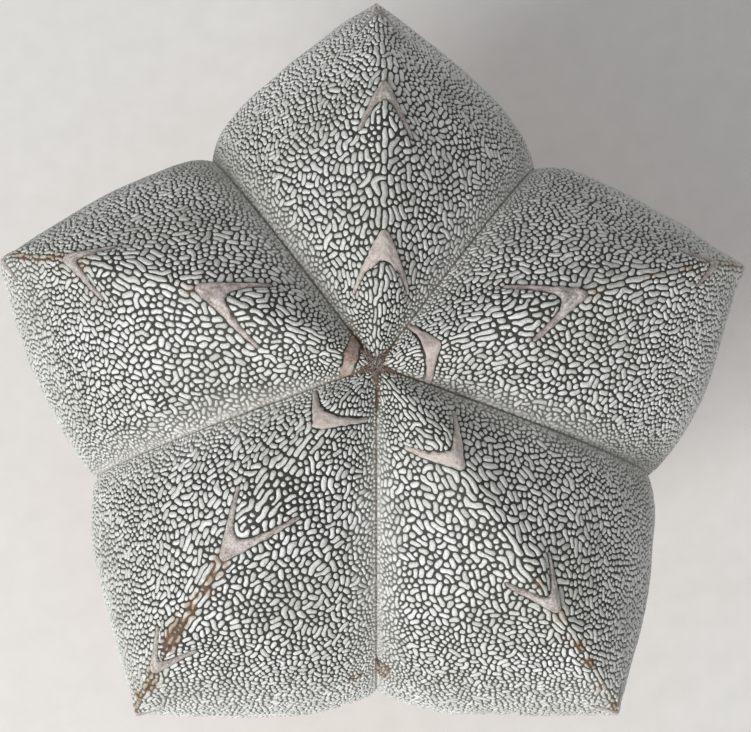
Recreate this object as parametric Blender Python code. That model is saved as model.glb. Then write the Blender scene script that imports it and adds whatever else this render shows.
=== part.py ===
"""A bishop's cap cactus (five sharp ribs, no spines) growing in a plain clay pot.

Units are metres, +Z is up and the origin is the centre of the pot's foot, on the table.
+Y points along the first rib. The other ribs follow it counter-clockwise.
"""

import math
import random

import bmesh
import bpy
from mathutils import Vector

MM = 0.001
GAP = 0.3 * MM  # air left between two pieces that touch

# The pot: a tapered clay pot with a thick collar.
POT_HEIGHT = 62.0 * MM
POT_RIM_RADIUS = 36.0 * MM
POT_COLLAR_HEIGHT = 14.0 * MM
POT_COLLAR_STEP = 2.4 * MM
POT_FOOT_RADIUS = 25.0 * MM
POT_WALL = 3.4 * MM
POT_FLOOR = 5.0 * MM
POT_EDGE_ROUND = 0.9 * MM
POT_COLLAR_TAPER = 0.5 * MM  # the collar is this much wider at its rim than at its lower edge
POT_NECK_FILLET = 0.6 * MM
POT_CORNER_ROUND = 1.8 * MM  # between the wall's inside and the floor
DRAIN_RADIUS = 3.5 * MM
DRAIN_COUNT = 3
DRAIN_CIRCLE_RADIUS = 12.5 * MM

# The potting mix, and the grit stones strewn on it.
SOIL_BELOW_RIM = 5.0 * MM
SOIL_LEVEL = POT_HEIGHT - SOIL_BELOW_RIM
SOIL_CLEARANCE = 1.3 * GAP  # the flats of a many-sided ring lie a little inside its corners
STONE_COUNT = 46
STONE_RADII = (2.8 * MM, 1.5 * MM)
STONE_TRIES = 6000
STONE_LIFTS = (0.0, 0.35, 0.7)  # over a stone's height, in stations above the soil
STONE_SLIMNESS = (0.78, 1.0)  # width as a share of length, from and to
STONE_FLATNESS = (0.62, 0.85)  # height as a share of length, from and to
STONE_FACETS = 5
STONE_FACET_DEPTH = 0.8  # a facet cuts the unit ball at this distance from its centre
STONE_FACET_FLATNESS = 0.85
STONE_SEED = 11

# The cactus. Heights in its profiles are counted from the soil's surface.
RIB_COUNT = 5
FIRST_RIB_AZIMUTH = math.radians(90.0)
RIB_STEP = math.tau / RIB_COUNT
NOMINAL_REACH = 47.0 * MM
RIB_REACH = [47.1 * MM, 47.9 * MM, 48.5 * MM, 48.8 * MM, 47.0 * MM]
NOMINAL_GROOVE_REACH = 33.7 * MM
GROOVE_REACH = [34.2 * MM, 35.3 * MM, 36.2 * MM, 34.4 * MM, 33.0 * MM]

# (radius, height) in millimetres along a rib's crest and along a groove's bottom, from the
# sunken apex over the widest place down to the rounded underside in the soil.
CREST_PROFILE = [
    (0.0, 54.8), (3.6, 56.4), (9.5, 57.9), (18.5, 57.0), (28.5, 53.2), (37.5, 46.6), (44.2, 38.0),
    (47.0, 28.5), (45.4, 20.6), (40.2, 14.4), (33.2, 9.2), (27.0, 4.6), (24.0, 0.0), (22.2, -3.6),
    (18.0, -7.0), (10.0, -9.0), (0.0, -9.4),
]
GROOVE_PROFILE = [
    (0.0, 54.8), (3.0, 54.4), (8.0, 52.6), (15.0, 49.6), (22.0, 45.4), (27.8, 40.0), (32.2, 33.4),
    (33.7, 26.5), (33.0, 19.6), (30.0, 13.6), (25.4, 8.6), (21.2, 4.2), (19.2, 0.0), (18.0, -3.6),
    (15.0, -7.0), (8.6, -9.0), (0.0, -9.4),
]
SOIL_STATION = next(i for i, (_, height) in enumerate(CREST_PROFILE) if height == 0.0)
# How the flank leaves the crest and meets the groove, in degrees, at the same stations: the
# drop below a flat line across the crest, and half of the groove's opening.
CREST_DROP = [10, 16, 20, 21, 23, 27, 32, 34, 33, 29, 24, 18, 14, 10, 8, 5, 0]
GROOVE_HALF_OPENING = [80, 58, 38, 29, 27, 29, 36, 43, 45, 47, 50, 55, 60, 66, 74, 82, 88]
CREST_HANDLE = 0.30  # lengths of the flank curve's two handles, as shares of its chord
GROOVE_HANDLE = 0.21
ROWS_PER_STATION = 2
COLUMNS_PER_FLANK = 6
COLUMNS = RIB_COUNT * 2 * COLUMNS_PER_FLANK


def remove_everything():
    for obj in list(bpy.data.objects):
        bpy.data.objects.remove(obj, do_unlink=True)


def make_material(name, colour, roughness):
    """A Principled material of one colour, given as linear red, green and blue."""
    material = bpy.data.materials.new(name)
    material.use_nodes = True
    shader = material.node_tree.nodes["Principled BSDF"]
    shader.inputs["Base Color"].default_value = (*colour, 1.0)
    shader.inputs["Roughness"].default_value = roughness
    material.diffuse_color = (*colour, 1.0)
    return material


def add_object(name, bm, material):
    """Turns a bmesh into a smooth-shaded object of the scene."""
    mesh = bpy.data.meshes.new(name)
    bm.to_mesh(mesh)
    bm.free()
    mesh.shade_smooth()
    mesh.set_sharp_from_angle(angle=math.radians(35.0))
    mesh.materials.append(material)
    obj = bpy.data.objects.new(name, mesh)
    bpy.context.collection.objects.link(obj)
    return obj


def along(values, place):
    """A smooth curve (Catmull-Rom) through values, read at a place counted in stations."""
    last = len(values) - 1
    index = min(int(place), last - 1)
    t = place - index
    before, start = values[max(index - 1, 0)], values[index]
    end, after = values[index + 1], values[min(index + 2, last)]
    return (
        start
        + 0.5 * t * (end - before)
        + t * t * (before - 2.5 * start + 2.0 * end - 0.5 * after)
        + t * t * t * (1.5 * (start - end) + 0.5 * (after - before))
    )


def profile_point(profile, place, scale):
    """Radius and height on a profile, its radii scaled to the reach of one rib or groove."""
    radius = along([point[0] for point in profile], place) * scale * MM
    height = along([point[1] for point in profile], place) * MM + SOIL_LEVEL
    return Vector((radius, height))


def outward_normal(profile, place, scale):
    """The profile's unit normal, pointing away from the plant, as (outward, upward)."""
    step = 0.05
    last = len(profile) - 1
    ahead = profile_point(profile, min(place + step, last), scale)
    behind = profile_point(profile, max(place - step, 0.0), scale)
    tangent = (ahead - behind).normalized()
    return Vector((-tangent.y, tangent.x))


def flank_point(rib, side, across, place):
    """A point of the skin, across = 0 on the rib's crest and 1 in the groove on that side."""
    groove = rib if side > 0 else (rib - 1) % RIB_COUNT
    crest_scale = RIB_REACH[rib] / NOMINAL_REACH
    groove_scale = GROOVE_REACH[groove] / NOMINAL_GROOVE_REACH
    crest = profile_point(CREST_PROFILE, place, crest_scale)
    groove_bottom = profile_point(GROOVE_PROFILE, place, groove_scale)
    crest_normal = outward_normal(CREST_PROFILE, place, crest_scale)
    groove_normal = outward_normal(GROOVE_PROFILE, place, groove_scale)
    drop = math.radians(along(CREST_DROP, place))
    opening = math.radians(along(GROOVE_HALF_OPENING, place))

    # The rib's own axes: x across it, y outwards along its crest, z up.
    turn = RIB_STEP / 2.0
    outward = Vector((math.sin(turn), math.cos(turn), 0.0))
    towards_rib = Vector((-math.cos(turn), math.sin(turn), 0.0))
    up = Vector((0.0, 0.0, 1.0))
    start = Vector((0.0, crest.x, crest.y))
    end = outward * groove_bottom.x + up * groove_bottom.y
    crest_out = Vector((0.0, crest_normal.x, crest_normal.y))
    groove_out = outward * groove_normal.x + up * groove_normal.y
    chord = (end - start).length
    leaving = Vector((1.0, 0.0, 0.0)) * math.cos(drop) - crest_out * math.sin(drop)
    arriving = groove_out * math.cos(opening) + towards_rib * math.sin(opening)
    first = start + leaving * chord * CREST_HANDLE
    second = end + arriving * chord * GROOVE_HANDLE
    rest = 1.0 - across
    local = (
        start * rest**3
        + first * 3.0 * rest**2 * across
        + second * 3.0 * rest * across**2
        + end * across**3
    )
    # On the counter-clockwise side of the crest, x runs the other way.
    azimuth = FIRST_RIB_AZIMUTH + rib * RIB_STEP
    radial = Vector((math.cos(azimuth), math.sin(azimuth), 0.0))
    sideways = Vector((-math.sin(azimuth), math.cos(azimuth), 0.0)) * side
    return radial * local.y + sideways * local.x + up * local.z


def body_row(place):
    """One ring of the skin, counter-clockwise from the first rib's clockwise groove."""
    row = []
    for rib in range(RIB_COUNT):
        for step in range(COLUMNS_PER_FLANK):
            row.append(flank_point(rib, -1, 1.0 - step / COLUMNS_PER_FLANK, place))
        for step in range(COLUMNS_PER_FLANK):
            row.append(flank_point(rib, 1, step / COLUMNS_PER_FLANK, place))
    return row


def body_rows(first_station, last_station):
    steps = (last_station - first_station) * ROWS_PER_STATION
    return [body_row(first_station + step / ROWS_PER_STATION) for step in range(steps + 1)]


def skin_rows(rows, poles=None):
    """A closed bmesh over rings of points, its ends closed flat or, given two poles, by fans."""
    bm = bmesh.new()
    rings = [[bm.verts.new(point) for point in row] for row in rows]
    count = len(rows[0])
    for upper, lower in zip(rings, rings[1:]):
        for i in range(count):
            j = (i + 1) % count
            bm.faces.new((upper[i], upper[j], lower[j], lower[i]))
    if poles is None:
        bm.faces.new(rings[0])
        bm.faces.new(rings[-1])
    else:
        for ring, pole in zip((rings[0], rings[-1]), poles):
            tip = bm.verts.new(pole)
            for i in range(count):
                bm.faces.new((ring[i], ring[(i + 1) % count], tip))
    bmesh.ops.recalc_face_normals(bm, faces=bm.faces)
    return bm


def make_cactus_body(material):
    last = len(CREST_PROFILE) - 1
    rows = body_rows(0, last)
    skin = skin_rows(rows[1:-1], poles=(rows[0][0], rows[-1][0]))
    return add_object("cactus_body", skin, material)


def round_row(radius, height):
    """A circle of points on the same spokes as the plant's rings."""
    start = FIRST_RIB_AZIMUTH - RIB_STEP / 2.0
    turns = [start + math.tau * i / COLUMNS for i in range(COLUMNS)]
    return [Vector((radius * math.cos(a), radius * math.sin(a), height)) for a in turns]


def pot_inner_radius(height):
    """The inside of the pot's tapered wall."""
    top = POT_RIM_RADIUS - POT_WALL
    bottom = POT_FOOT_RADIUS - POT_WALL
    return bottom + (top - bottom) * (height - POT_FLOOR) / (POT_HEIGHT - POT_FLOOR)


def pot_profile():
    """(radius, height) from the edge of the foot, up the outside and down to the floor."""
    edge = POT_EDGE_ROUND
    collar_bottom = POT_HEIGHT - POT_COLLAR_HEIGHT
    collar_edge = POT_RIM_RADIUS - POT_COLLAR_TAPER
    neck = collar_edge - POT_COLLAR_STEP
    inner_top = pot_inner_radius(POT_HEIGHT - edge)
    return [
        (POT_FOOT_RADIUS - edge, 0.0),
        (POT_FOOT_RADIUS, edge),
        (neck, collar_bottom - POT_NECK_FILLET),
        (neck + POT_NECK_FILLET, collar_bottom),
        (collar_edge - edge, collar_bottom),
        (collar_edge, collar_bottom + edge),
        (POT_RIM_RADIUS, POT_HEIGHT - 1.6 * edge),
        (POT_RIM_RADIUS - 0.3 * edge, POT_HEIGHT - 0.5 * edge),
        (POT_RIM_RADIUS - edge, POT_HEIGHT),
        (inner_top + edge, POT_HEIGHT),
        (inner_top + 0.3 * edge, POT_HEIGHT - 0.3 * edge),
        (inner_top, POT_HEIGHT - edge),
        (pot_inner_radius(POT_FLOOR + POT_CORNER_ROUND), POT_FLOOR + POT_CORNER_ROUND),
        (pot_inner_radius(POT_FLOOR) - POT_CORNER_ROUND, POT_FLOOR),
    ]


def make_drain_cutter(number):
    azimuth = FIRST_RIB_AZIMUTH + math.tau * number / DRAIN_COUNT
    place = Vector((math.cos(azimuth), math.sin(azimuth), 0.0)) * DRAIN_CIRCLE_RADIUS
    place.z = POT_FLOOR / 2.0
    bpy.ops.mesh.primitive_cylinder_add(
        vertices=24, radius=DRAIN_RADIUS, depth=3.0 * POT_FLOOR, location=place
    )
    cutter = bpy.context.object
    cutter.name = f"drain_cutter_{number + 1}"
    cutter.hide_render = True
    cutter.display_type = "WIRE"
    return cutter


def make_pot(material):
    rows = [round_row(radius, height) for radius, height in pot_profile()]
    pot = add_object("clay_pot", skin_rows(rows), material)
    for number in range(DRAIN_COUNT):
        hole = pot.modifiers.new(f"drain_hole_{number + 1}", "BOOLEAN")
        hole.operation = "DIFFERENCE"
        hole.object = make_drain_cutter(number)
    return pot


def socket_rows(clearance):
    """The hollow that the plant's buried end fits, its own skin moved out by a clearance."""
    rows = body_rows(SOIL_STATION, len(CREST_PROFILE) - 1)
    moved = []
    for number, row in enumerate(rows[:-1]):
        below = rows[number + 1]
        above = rows[number - 1] if number else row
        ring = []
        for i, point in enumerate(row):
            around = row[(i + 1) % COLUMNS] - row[i - 1]
            down = below[i] - above[i]
            ring.append(point + down.cross(around).normalized() * clearance)
        moved.append(ring)
    for point in moved[0]:
        point.z = SOIL_LEVEL
    floor = rows[-1][0].z - clearance
    for point in moved[-1]:
        point.z = floor
    return moved


def make_soil(material):
    """The potting mix, filling the pot to a little below its rim, around the buried end."""
    corner = POT_FLOOR + POT_CORNER_ROUND
    rows = list(reversed(socket_rows(SOIL_CLEARANCE)))
    rows.append(round_row(pot_inner_radius(SOIL_LEVEL) - SOIL_CLEARANCE, SOIL_LEVEL))
    rows.append(round_row(pot_inner_radius(corner) - SOIL_CLEARANCE, corner + GAP))
    foot_radius = pot_inner_radius(POT_FLOOR) - POT_CORNER_ROUND - SOIL_CLEARANCE
    rows.append(round_row(foot_radius, POT_FLOOR + GAP))
    return add_object("potting_mix", skin_rows(rows), material)


def plant_radius_near_soil(azimuth, rows):
    """How far the plant reaches on one bearing, over the height of a stone."""
    start = FIRST_RIB_AZIMUTH - RIB_STEP / 2.0
    column = (azimuth - start) % math.tau / math.tau * COLUMNS
    near = [int(column + offset) % COLUMNS for offset in (-1, 0, 1, 2)]
    return max(math.hypot(row[i].x, row[i].y) for row in rows for i in near)


def stone_places():
    """Seeded places (x, y, radius) between plant and pot, the large stones first."""
    rng = random.Random(STONE_SEED)
    near_soil = [body_row(SOIL_STATION - lift) for lift in STONE_LIFTS]
    outer = pot_inner_radius(SOIL_LEVEL)
    placed = []
    for number in range(STONE_COUNT):
        share = number / (STONE_COUNT - 1)
        radius = STONE_RADII[0] + (STONE_RADII[1] - STONE_RADII[0]) * share
        for _ in range(STONE_TRIES):
            azimuth = rng.uniform(0.0, math.tau)
            inner = plant_radius_near_soil(azimuth, near_soil)
            nearest, farthest = inner + radius + GAP, outer - radius - 2.0 * GAP
            if nearest > farthest:
                continue
            distance = rng.uniform(nearest, farthest)
            x, y = distance * math.cos(azimuth), distance * math.sin(azimuth)
            if all(math.hypot(x - px, y - py) > radius + pr + GAP for px, py, pr in placed):
                placed.append((x, y, radius))
                break
    return placed


def make_stone(number, place, rng, material):
    """One rounded, uneven stone, lying just on the potting mix."""
    x, y, radius = place
    bm = bmesh.new()
    bmesh.ops.create_icosphere(bm, subdivisions=2, radius=1.0)
    length = rng.uniform(*STONE_SLIMNESS)
    height = rng.uniform(*STONE_FLATNESS)
    facets = [
        Vector(rng.uniform(-1.0, 1.0) for _ in range(3)).normalized()
        for _ in range(STONE_FACETS)
    ]
    turn = rng.uniform(0.0, math.pi)
    for vert in bm.verts:
        point = vert.co.copy()
        for facet in facets:
            over = point.dot(facet) - STONE_FACET_DEPTH
            if over > 0.0:
                point -= facet * over * STONE_FACET_FLATNESS
        point = Vector((point.x * radius, point.y * radius * length, point.z * radius * height))
        vert.co = Vector((
            point.x * math.cos(turn) - point.y * math.sin(turn),
            point.x * math.sin(turn) + point.y * math.cos(turn),
            point.z,
        ))
    lowest = min(vert.co.z for vert in bm.verts)
    stone = add_object(f"grit_stone_{number + 1:02d}", bm, material)
    stone.location = (x, y, SOIL_LEVEL + GAP - lowest)
    return stone


def make_stones(materials):
    rng = random.Random(STONE_SEED + 1)
    for number, place in enumerate(stone_places()):
        make_stone(number, place, rng, materials[number % len(materials)])


def main():
    remove_everything()
    make_cactus_body(make_material("cactus_skin", (0.42, 0.42, 0.39), 0.75))
    make_pot(make_material("terracotta", (0.45, 0.17, 0.085), 0.85))
    make_soil(make_material("potting_mix", (0.055, 0.036, 0.024), 0.95))
    make_stones([
        make_material("grit_grey", (0.23, 0.22, 0.2), 0.8),
        make_material("grit_buff", (0.4, 0.31, 0.21), 0.8),
    ])


main()
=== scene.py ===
"""The looks of a potted bishop's cap cactus: five sharp ribs of white wool flecks, in a clay pot.

Sizes in the drawing code are millimetres, and a mesh is turned to metres when it is made.
+Z is up, the pot stands on the origin, and the first rib points along +Y.
"""

import math

import bmesh
import bpy
import numpy as np
from mathutils import Matrix, Vector, noise


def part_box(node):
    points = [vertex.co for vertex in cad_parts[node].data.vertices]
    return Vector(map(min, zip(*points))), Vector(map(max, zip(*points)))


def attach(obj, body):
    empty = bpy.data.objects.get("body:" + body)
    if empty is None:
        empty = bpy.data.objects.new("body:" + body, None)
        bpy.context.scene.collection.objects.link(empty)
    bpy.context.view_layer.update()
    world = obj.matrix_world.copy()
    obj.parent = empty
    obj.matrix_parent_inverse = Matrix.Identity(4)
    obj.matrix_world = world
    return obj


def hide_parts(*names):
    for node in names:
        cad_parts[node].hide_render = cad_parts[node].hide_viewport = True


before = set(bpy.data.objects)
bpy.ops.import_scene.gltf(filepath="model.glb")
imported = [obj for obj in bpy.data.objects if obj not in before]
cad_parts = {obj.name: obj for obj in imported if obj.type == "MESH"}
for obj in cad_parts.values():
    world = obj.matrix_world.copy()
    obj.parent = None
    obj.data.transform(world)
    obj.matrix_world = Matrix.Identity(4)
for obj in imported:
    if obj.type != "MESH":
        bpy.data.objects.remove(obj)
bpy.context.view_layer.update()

bl_info = {
    "name": "Potted bishop's cap cactus",
    "version": (1, 0, 0),
    "blender": (4, 5, 0),
    "location": "View3D > Sidebar > Cactus",
    "description": "Grows the plant's skin, flecks and areoles, and makes its pot, mix and stones",
    "category": "Add Mesh",
}

MM = 0.001
BODY = "root"

# The plant's shape: five ribs, the first along +Y and the rest counter-clockwise from it.
RIB_COUNT = 5
RIB_STEP = math.tau / RIB_COUNT
FIRST_RIB = math.radians(90.0)
SOIL_LEVEL = 57.0
NOMINAL_REACH = 47.0
RIB_REACH = [47.6, 47.9, 48.5, 48.2, 47.0]
NOMINAL_GROOVE = 33.7
GROOVE_REACH = [34.2, 35.3, 36.2, 34.4, 33.0]

# (radius, height above the mix) of stations along a rib's crest and along a groove's bottom,
# from the sunken apex over the widest place to the rounded underside in the mix.
CREST_PROFILE = np.array([
    (0.0, 54.8), (3.6, 56.4), (9.5, 57.9), (18.5, 57.0), (28.5, 53.2), (37.5, 46.6),
    (44.2, 38.0), (47.0, 28.5), (45.4, 20.6), (40.2, 14.4), (33.2, 9.2), (27.0, 4.6),
    (24.0, 0.0), (22.2, -3.6), (18.0, -7.0), (10.0, -9.0), (0.0, -9.4),
])
GROOVE_PROFILE = np.array([
    (0.0, 54.8), (3.0, 54.4), (8.0, 52.6), (15.0, 49.6), (22.0, 45.4), (27.8, 40.0),
    (32.2, 33.4), (33.7, 26.5), (33.0, 19.6), (30.0, 13.6), (25.4, 8.6), (21.2, 4.2),
    (19.2, 0.0), (18.0, -3.6), (15.0, -7.0), (8.6, -9.0), (0.0, -9.4),
])
# Degrees by which a flank falls away from its crest, and leans off the groove's own direction.
CREST_DROP = np.array([10, 16, 20, 21, 23, 27, 32, 34, 33, 29, 24, 18, 14, 10, 8, 5, 0.0])
GROOVE_OPENING = np.array([80, 58, 38, 29, 27, 29, 36, 43, 45, 47, 50, 55, 60, 66, 74, 82, 88.0])
CREST_HANDLE = 0.30  # the lengths of a flank's curve handles, as shares of its width
GROOVE_HANDLE = 0.21
SOIL_STATION = 12.0
UNDERSIDE_ROWS = 9

# A rib's chart: rows run from the apex down to the mix, columns from groove to groove.
CHART_ROWS = 1080
CHART_COLUMNS = 641
CHART_TOP = 0.25  # stations
CHART_FOOT = 11.98
CREST_COLUMN = CHART_COLUMNS // 2
PROFILE_STEPS = 2000
SKIN_ROWS = 246  # the skin's mesh takes every fourth or fifth row of the chart
SKIN_COLUMNS = 35  # on each flank
SKIN_SINK = 0.05  # keeps the skin's coarser mesh under the flecks
MAPPED_STRIP = 0.985  # how much of its strip of the bake map a rib fills

# The skin's relief: how far it rises under an areole's pad and inside the fork, how deep the
# crease along the felt is, and how high its broad and small waves are.
PAD_RISE = 0.12
FORK_RISE = 0.42
CREASE_DEPTH = 0.14
BROAD_WAVE = 0.20
SMALL_WAVE = 0.10
RELIEF_SINK = 0.15  # keeps the waves from standing proud of the plant's size

# Each rib's areoles: (distance from the apex along the crest, how far they sit to the
# counter-clockwise side of it, half opening in degrees, the counter-clockwise arm's length, the
# other arm's length, depth of felt that fills the fork), in millimetres.
AREOLES = [
    [(14.3, -0.9, 35, 6.9, 6.7, 2.6), (33.5, -1.0, 28, 6.0, 6.8, 2.2),
     (52.0, -0.4, 28, 5.0, 5.0, 1.6), (69.0, 0.0, 28, 4.8, 4.8, 1.4),
     (85.0, 0.0, 30, 4.4, 4.4, 1.3)],
    [(3.3, -0.2, 80, 2.8, 3.4, 0.9), (21.2, -2.2, 30, 8.6, 7.0, 2.8),
     (40.3, -1.7, 30, 7.0, 5.6, 1.8), (57.0, -0.6, 28, 5.0, 5.0, 1.5),
     (73.0, 0.0, 28, 4.8, 4.8, 1.4), (87.0, 0.0, 30, 4.2, 4.2, 1.3)],
    [(9.1, -1.4, 52, 6.0, 4.7, 1.4), (26.9, -1.3, 30, 8.6, 7.1, 2.4),
     (45.8, -0.8, 30, 5.6, 5.0, 1.4), (62.0, -0.2, 28, 5.0, 5.0, 1.5),
     (78.0, 0.0, 30, 4.6, 4.6, 1.3)],
    [(14.3, 0.9, 42, 6.2, 6.3, 1.7), (34.5, 0.6, 30, 5.9, 6.1, 1.7),
     (58.5, 0.2, 28, 4.2, 4.2, 1.3), (73.0, 0.0, 28, 4.8, 4.8, 1.4),
     (85.0, 0.0, 30, 4.4, 4.4, 1.3)],
    [(6.9, 0.0, 61, 4.3, 5.1, 1.2), (24.4, 0.6, 29, 8.0, 7.0, 2.5),
     (46.4, 0.5, 30, 4.4, 4.4, 1.1), (64.0, 0.0, 28, 5.0, 5.0, 1.5),
     (80.0, 0.0, 30, 4.6, 4.6, 1.3)],
]
# How brown each groove has gone near the apex, and each rib along its old crest.
GROOVE_STAIN = [0.9, 0.3, 0.7, 0.6, 0.5]
CREST_STAIN = [0.24, 0.58, 1.0, 0.60, 0.55]
# How brown the bottom of each groove is further out, where some are pale with scurf.
GROOVE_FLOOR = [0.42, 0.22, 0.24, 0.27, 0.42]
FRESH_FLOOR = 0.42
# Old scars by the grooves: (rib, side, distance from the apex, distance from the groove, radius).
SCARS = [(3, -1, 46.9, 0.9, 1.0), (3, -1, 49.3, 0.8, 0.7), (2, 1, 48.0, 3.0, 0.7)]
# Brown blotches on the ribs: (rib, distance from the apex, place beside the crest, radius).
BLOTCHES = [(1, 37.2, -1.4, 1.1), (4, 45.3, -0.5, 0.9), (2, 31.5, -1.0, 0.9)]

ARM_TIP = 0.24  # half the width of an arm at its tip and at the fork
ARM_ROOT = 0.66
AREOLE_REACH = 12.0
ARCH_DEPTH = 0.9  # how much further the felt reaches along the arms than in the fork's middle
WIDE_FORK = 50  # a fork that opens wider than this is a crescent
RIM_REACH = 0.12  # how far an areole's rim runs on past its edge, and how steeply it sinks
RIM_SLOPE = 0.9
AREOLE_CLEAR = 0.2  # of the groove's bottom
UNDERSIDE = 0.08  # how far an areole's underside is below its rim

FLECK_CLEAR = 0.20  # of the groove's bottom
FLECK_ROOT = 0.12  # how far a fleck's base is sunk
FLECK_BEVEL = 0.055
FULL_FLECK = 0.28  # a fleck this far from its middle to its edge has its full height and bevel
FLECK_SPACING = 0.89  # between two seeds at least, as a share of the fleck's width
FLECK_REACH = 0.55  # from a seed to the fleck's edge at most, as a share of its width
FLECK_WINDOW = 0.85
SOWN_CLEAR = 0.22  # of an areole, where the seeds are sown and where they are evened out
SETTLED_CLEAR = 0.11
SETTLINGS = 3  # rounds of evening out the seeds
LINK_STEP = 0.12
LONE_BONUS = 0.07  # by how many millimetres a round fleck pushes its long neighbours back
CHAIN_BEND = -0.25  # the most that two links of one seed may point the same way, as a cosine
CHAIN_ROOM = 0.66  # a link's middle is this far from other seeds, as a share of the width
LINK_REACH = 1.36  # the longest link, as a share of the width
JOIN_CHANCE = 0.40  # that a seed looks for one to join, and what the crest adds to it
CREST_JOINS = 0.30
THIRD_SEED = 0.24  # the chances that a fleck may have a third seed, and one more than that
FOURTH_SEED = 0.10
CREST_SEEDS = 5.0  # how many more it may have on the crest
LEAST_GAP = 0.67  # between the finest flecks, as a share of the full gap
FLECK_STEP = 0.205  # between two corners of a fleck's outline
FLECK_CORNERS = 30  # at most
SMALLEST_FLECK = 0.15  # from its middle to its tip


def srgb(colour):
    """A hex colour as the linear values that the shader works in."""
    values = [int(colour[i:i + 2], 16) / 255.0 for i in (1, 3, 5)]
    linear = [v / 12.92 if v <= 0.04045 else ((v + 0.055) / 1.055) ** 2.4 for v in values]
    return (*linear, 1.0)


def size_property(name, description, default):
    """A length that the user can change, with its default in millimetres."""
    return bpy.props.FloatProperty(
        name=name, description=description, default=default * MM, min=0.0, precision=5,
        unit="LENGTH", subtype="DISTANCE",
    )


def colour_property(name, description, default):
    """A colour that the user can change, with its default as a hex value."""
    return bpy.props.FloatVectorProperty(
        name=name, description=description, default=srgb(default), size=4, min=0.0, max=1.0,
        subtype="COLOR",
    )


def ease(value, low, high):
    """0 below low, 1 above high, and a smooth rise between them."""
    part = np.clip((value - low) / (high - low), 0.0, 1.0)
    return part * part * (3.0 - 2.0 * part)


def along(values, place):
    """Values on a smooth curve through a row of values, at places counted in stations."""
    values = np.asarray(values, float)
    last = len(values) - 1
    index = np.minimum(place.astype(int), last - 1)
    part = place - index
    if values.ndim > 1:
        part = part[..., None]
    before = values[np.maximum(index - 1, 0)]
    low = values[index]
    high = values[index + 1]
    after = values[np.minimum(index + 2, last)]
    bend = before - 2.5 * low + 2.0 * high - 0.5 * after
    twist = 1.5 * (low - high) + 0.5 * (after - before)
    return low + 0.5 * part * (high - before) + part**2 * bend + part**3 * twist


def profile_line(profile, place, scale):
    """(radius, height) at each place, with the radii scaled to one rib's or groove's reach."""
    line = along(profile, place)
    line[..., 0] *= scale
    line[..., 1] += SOIL_LEVEL
    return line


def profile_normals(profile, place, scale):
    """The outward direction, as (radius, height), at each place of a profile."""
    last = len(profile) - 1
    ahead = profile_line(profile, np.minimum(place + 0.05, last), scale)
    behind = profile_line(profile, np.maximum(place - 0.05, 0.0), scale)
    ahead -= behind
    ahead /= np.linalg.norm(ahead, axis=-1, keepdims=True)
    return np.stack([-ahead[..., 1], ahead[..., 0]], -1)


def flank_surface(rib, place, across):
    """Points of one rib. across runs from -1 at its clockwise groove to 1 at the other one."""
    points = np.zeros((len(place), len(across), 3))
    azimuth = FIRST_RIB + rib * RIB_STEP
    radial = np.array([math.cos(azimuth), math.sin(azimuth), 0.0])
    sideways = np.array([-math.sin(azimuth), math.cos(azimuth), 0.0])
    half = RIB_STEP / 2.0
    to_groove = np.array([math.sin(half), math.cos(half), 0.0])
    past_groove = np.array([-math.cos(half), math.sin(half), 0.0])
    up = np.array([0.0, 0.0, 1.0])
    right = np.array([1.0, 0.0, 0.0])
    crest_scale = RIB_REACH[rib] / NOMINAL_REACH
    crest = profile_line(CREST_PROFILE, place, crest_scale)
    crest_normal = profile_normals(CREST_PROFILE, place, crest_scale)
    drop = np.radians(along(CREST_DROP, place))[:, None]
    opening = np.radians(along(GROOVE_OPENING, place))[:, None]
    for side in (-1, 1):
        groove_scale = GROOVE_REACH[rib if side > 0 else rib - 1] / NOMINAL_GROOVE
        groove = profile_line(GROOVE_PROFILE, place, groove_scale)
        groove_normal = profile_normals(GROOVE_PROFILE, place, groove_scale)
        start = np.stack([0.0 * place, crest[:, 0], crest[:, 1]], -1)
        end = groove[:, :1] * to_groove + groove[:, 1:] * up
        off_crest = np.stack([0.0 * place, crest_normal[:, 0], crest_normal[:, 1]], -1)
        off_groove = groove_normal[:, :1] * to_groove + groove_normal[:, 1:] * up
        width = np.linalg.norm(end - start, axis=1)[:, None]
        leaving = right * np.cos(drop) - off_crest * np.sin(drop)
        arriving = off_groove * np.cos(opening) + past_groove * np.sin(opening)
        first = start + leaving * width * CREST_HANDLE
        second = end + arriving * width * GROOVE_HANDLE
        columns = across * side >= 0.0
        part = np.abs(across[columns])[:, None]
        rest = 1.0 - part
        local = (
            start[:, None] * rest**3 + first[:, None] * 3.0 * rest**2 * part
            + second[:, None] * 3.0 * rest * part**2 + end[:, None] * part**3
        )
        points[:, columns] = (
            radial * local[..., 1:2] + sideways * side * local[..., 0:1] + up * local[..., 2:3]
        )
    return points


def surface_normals(points):
    """The outward direction at each cell of a grid of points."""
    normals = np.cross(np.gradient(points, axis=0), np.gradient(points, axis=1))
    return normals / (np.linalg.norm(normals, axis=2, keepdims=True) + 1e-12)


NOISE_WAVES = 14
NOISE_PEAK = 4.2  # what that many waves reach together, as a rule


def soft_noise(points, size, seed):
    """Smooth random values from about -1 to 1 over points, with lumps of about that size."""
    rng = np.random.default_rng(seed)
    total = np.zeros(points.shape[:-1])
    for _ in range(NOISE_WAVES):
        direction = rng.normal(size=3)
        direction /= np.linalg.norm(direction)
        length = size * rng.uniform(1.6, 2.8)
        total += np.sin(points @ direction * (math.tau / length) + rng.uniform(0.0, math.tau))
    return total / NOISE_PEAK


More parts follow.
